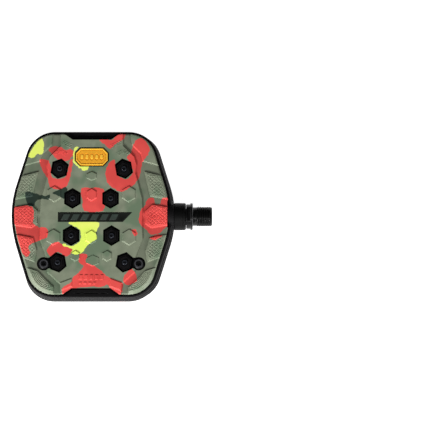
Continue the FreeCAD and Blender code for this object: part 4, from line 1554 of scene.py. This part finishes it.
@dataclass
class Fasteners(FacePieces):
    """The tread screws and the grip pins of both faces."""

    layout: Layout
    seat: float = 7.7
    screw_length: float = 7.6
    head_radius: float = 3.8
    head_height: float = 1.6
    pin_radius: float = 2.0
    pin_bottom: float = 3.4
    pin_top: float = 10.4

    def screw(self) -> Mesh:
        """A black button-head screw with a six-lobed socket in its top, whose flat ring is painted lighter
        as a painted highlight.
        """
        top, seat, end = self.seat + self.head_height, self.seat, self.seat - self.screw_length
        head, socket = self.head_radius, lobed_radius(2.05, 1.15)
        rings = [(end, 1.6), (end + 0.4, 2.0), (seat, 2.0), (seat, head - 0.15)]
        rings += [(seat + 0.15, head), (seat + 0.45, head), (seat + 0.75, head - 0.08)]
        rings += [(top - 0.5, 3.5), (top - 0.28, 3.28), (top - 0.08, 3.0)]
        # The flat top band takes the lighter colour of the painted highlight.
        bright = len(rings) - 1
        rings += [(top, 2.2), (top - 0.05, socket), (top - 1.5, socket), (top - 1.5, 0.8)]
        rings.append((top - 1.8, 0.05))
        return turned(rings, Axis.UPRIGHT, 72, bright=[bright])

    def pin(self) -> Mesh:
        """A grub screw with a hexagon socket in its domed end."""
        top, radius, socket = self.pin_top, self.pin_radius, polygon_radius(1.0)
        rings = [(self.pin_bottom, 1.6), (self.pin_bottom + 0.4, radius), (8.6, radius)]
        rings += [(9.75, radius), (10.2, 1.78), (top, 1.55), (top, 1.42), (top - 0.12, socket)]
        rings += [(top - 1.6, socket), (top - 1.9, 0.05)]
        return turned(rings, Axis.UPRIGHT, 48)

    def group(self, shape: Mesh, places: Iterable[Point]) -> Mesh:
        """Copies of a shape at some places."""
        mesh = Mesh()
        for x, y in places:
            copy = shape.moved(x, y)
            mesh.add(copy.points, copy.faces, copy.zones)
        return mesh

    def build(self) -> None:
        """Makes the screws and pins of both faces."""
        screws = self.group(self.screw(), self.layout.screws())
        pins = self.group(self.pin(), [(x, y) for x, y, _ in self.layout.pins()])
        # The second finish is the painted highlight on the screw tops.
        finishes = (Finish.SCREW, Finish.SCREW_FACE)
        self.place(screws, "tread_button_screws", "tread_screws", "screw_black", finishes)
        self.place(pins, "socket_grip_pins", "grip_pins", "pin_black", (Finish.PIN,))


# The spindle and the collar


@dataclass
class Spindle:
    """The steel spindle: crank thread, relief, flange, neck with flats, journal, taper and bearing seat."""

    paints: Paints
    thread_radius: float = 7.14
    thread_depth: float = 0.62
    thread_pitch: float = 1.27
    thread_start: float = 2.7
    thread_end: float = 13.9
    steps_per_turn: int = 8
    neck_radius: float = 8.85
    flat_distance: float = 7.5
    key_flat: float = 4.0

    def thread_ring(self, along: float) -> Callable[[float], float]:
        """Radius round the left-hand thread at a place along it."""
        start_lead, end_lead = along - self.thread_start, self.thread_end - along

        def radius(angle: float) -> float:
            """Radius at an angle."""
            turn = (along / self.thread_pitch + angle / math.tau) % 1
            tooth = min(max(2.2 * abs(2 * turn - 1) - 1.1, 0), 1)
            groove = self.thread_radius - self.thread_depth * tooth
            return min(groove, 6.72 + start_lead * 0.8, 6.14 + end_lead)

        return radius

    def neck(self, angle: float) -> float:
        """Radius of the neck at an angle, with flats above and below."""
        upright = abs(math.cos(angle))
        return min(self.neck_radius, self.flat_distance / max(upright, 0.1))

    def mesh(self) -> Mesh:
        """The spindle, from the tip's socket to its far end."""
        tip, key = self.thread_end, polygon_radius(self.key_flat)
        rings: list[tuple[float, Radius]] = [(4.2, 0.4), (4.9, key), (tip - 0.35, key)]
        rings += [(tip, lambda angle: key(angle) + 0.3), (tip, 6.14)]
        count = round((tip - self.thread_start) / self.thread_pitch * self.steps_per_turn)
        for k in range(1, count):
            along = tip - (tip - self.thread_start) * k / count
            rings.append((along, self.thread_ring(along)))
        rings += [(self.thread_start, 6.7), (0.25, 6.7), (0.0, 6.95), (0.0, 9.35)]
        # The chamfers of the flange and the neck take the painted highlight.
        bright = [len(rings) - 1]
        rings += [(-0.3, 9.65), (-1.6, 9.65)]
        bright.append(len(rings) - 1)
        rings += [(-1.9, 9.35), (-1.9, self.neck), (-4.3, self.neck)]
        bright.append(len(rings) - 1)
        rings += [(-4.7, 8.45), (-4.7, 6.0), (-31.0, 6.0), (-84.0, 5.0), (-91.2, 5.0), (-91.2, 3.99)]
        rings += [(-108.4, 3.99), (-108.9, 3.49)]
        return turned(rings, Axis.SPINDLE, 96, bright=bright)

    def build(self) -> None:
        """Makes the spindle and puts it on its body."""
        piece = self.mesh().piece("threaded_spindle", 0.0, 35.0)
        # The second finish is the painted highlight on the chamfers.
        self.paints.dress(piece, "spindle_black", Finish.SPINDLE, Finish.SPINDLE_EDGE)
        settle(piece, "spindle_group", "spindle")


@dataclass
class Collar:
    """The nut that closes the bore, turned with the platform."""

    paints: Paints
    station: float = 4.9
    face: float = 13.25
    radius: float = 9.75
    shank_radius: float = 8.0
    shank_end: float = 17.4

    def mesh(self) -> Mesh:
        """A hollow turned ring with a rounded outer end and a fine line near it."""
        start, face, end = -self.station, -self.face, -self.shank_end
        rim, shank = self.radius, self.shank_radius
        rings = [(start, 8.2), (start, 8.9), (start - 0.2, 9.2), (start - 0.7, 9.6), (start - 1.05, rim)]
        rings += [(start - 2.0, rim), (start - 2.12, 9.6), (start - 2.32, 9.6), (start - 2.44, rim)]
        rings += [(face + 0.3, rim), (face, rim - 0.3), (face, 9.3), (face + 1.0, 9.3)]
        rings += [(face + 1.0, 8.2), (face, 8.2), (face, shank), (end, shank)]
        rings += [(end, 6.3), (start - 3.2, 6.3), (start - 3.2, 8.2)]
        return turned(rings, Axis.SPINDLE, 96, tube=True)

    def build(self) -> None:
        """Makes the collar and puts it on its body."""
        piece = self.mesh().piece("bore_collar_nut", 0.0, 35.0)
        self.paints.dress(piece, "collar_black", Finish.COLLAR)
        settle(piece, "platform", "collar_nut")


@dataclass
class InnerParts:
    """The CAD pieces that stay as they are and get their materials."""

    paints: Paints
    finishes: tuple[tuple[str, Finish], ...] = (
        ("tread_carrier", Finish.CARRIER), ("lip_seal", Finish.SEAL), ("o_ring", Finish.SEAL),
        ("bearing_seals", Finish.SEAL), ("bushing", Finish.BUSHING), ("sleeve", Finish.SLEEVE),
        ("spacer", Finish.SLEEVE), ("washer", Finish.NUT), ("lock_nut", Finish.NUT),
        ("race", Finish.BEARING), ("balls", Finish.BEARING), ("cage", Finish.CAGE),
    )

    def build(self) -> None:
        """Gives each shown CAD node its material."""
        for node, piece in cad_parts.items():
            if piece.hide_render:
                continue
            finish = next(finish for word, finish in self.finishes if word in node)
            piece.data.materials.clear()
            piece.data.materials.append(self.paints.get(finish))
            log.info("%s: CAD node, finished as %s", node, finish.value.name)


# The studio


@dataclass
class Studio:
    """A pale floor, soft light from the near side and a camera almost straight above."""

    floor_half: float = 12.0
    floor_glow: float = 0.95
    elevation: float = 76.5
    distance: float = 3.0
    frame_width: float = 0.3079
    sensor: float = 36.0
    tip_margin: float = 0.00196
    aim_y: float = 0.00125

    def floor(self, height: float) -> None:
        """A plain level sheet at a height."""
        half = self.floor_half
        points = [(-half, -half, height), (half, -half, height), (half, half, height), (-half, half, height)]
        data = bpy.data.meshes.new("floor")
        data.from_pydata(points, [], [(0, 1, 2, 3)])
        sheet = bpy.data.objects.new("floor", data)
        shader = Shader("floor_paper")
        cloud = shader.noise(60.0)
        shader.feed(shader.surface, {
            "Base Color": shader.mix(cloud, (0.9, 0.9, 0.9), (0.93, 0.93, 0.93)),
            "Roughness": 0.9,
            "Specular IOR Level": 0.1,
            "Emission Color": (1.0, 1.0, 1.0, 1.0),
            "Emission Strength": self.floor_glow,
        })
        data.materials.append(shader.material)
        bpy.context.scene.collection.objects.link(sheet)

    def lamp(self, name: str, place: Spot, size: float, power: float) -> None:
        """A soft square lamp that points at the pedal."""
        light = bpy.data.lights.new(name, "AREA")
        light.size = size
        light.energy = power
        lamp = bpy.data.objects.new(name, light)
        lamp.location = place
        lamp.rotation_euler = (-Vector(place)).to_track_quat("-Z", "Y").to_euler()
        bpy.context.scene.collection.objects.link(lamp)

    def camera(self, tip: float) -> None:
        """The camera, aimed just beyond the spindle's tip."""
        data = bpy.data.cameras.new("camera")
        data.sensor_width = self.sensor
        data.lens = self.sensor * self.distance / self.frame_width
        camera = bpy.data.objects.new("camera", data)
        tilt = math.radians(self.elevation)
        aim = Vector((tip + self.tip_margin, self.aim_y, 0))
        camera.location = aim + Vector((0, -math.cos(tilt), math.sin(tilt))) * self.distance
        camera.rotation_euler = (math.pi / 2 - tilt, 0, 0)
        bpy.context.scene.collection.objects.link(camera)
        bpy.context.scene.camera = camera

    def build(self) -> None:
        """Sets up floor, light and camera."""
        low, high = CAD_BOX
        self.floor(low.z)
        self.lamp("near_left_key", (-0.8, -1.4, 0.75), 0.4, 42.0)
        self.lamp("near_right_fill", (1.2, -1.1, 0.6), 0.5, 16.0)
        self.lamp("high_glint", (0.15, -1.0, 1.35), 0.22, 4.5)
        world = bpy.data.worlds.new("studio")
        world.use_nodes = True
        world.node_tree.nodes["Background"].inputs["Strength"].default_value = 0.08
        world.node_tree.nodes["Background"].inputs["Color"].default_value = (1, 1, 1, 1)
        bpy.context.scene.world = world
        bpy.context.scene.view_settings.view_transform = "Standard"
        self.camera(high.x)


def main() -> None:
    """Builds every sub-assembly in order."""
    logging.basicConfig(level=logging.INFO, format="%(name)s %(message)s")
    layout, paints = Layout(), Paints()
    low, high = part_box("top_badge")
    centre = (low.x + high.x) / 2
    Platform(layout, paints, centre).build()
    Tread(paints, centre, layout).build()
    Badge(paints, centre).build()
    CentreStrip(paints, centre).build()
    Fasteners(paints, centre, layout).build()
    Spindle(paints).build()
    Collar(paints).build()
    InnerParts(paints).build()
    Studio().build()


if __name__ == "__main__":
    main()
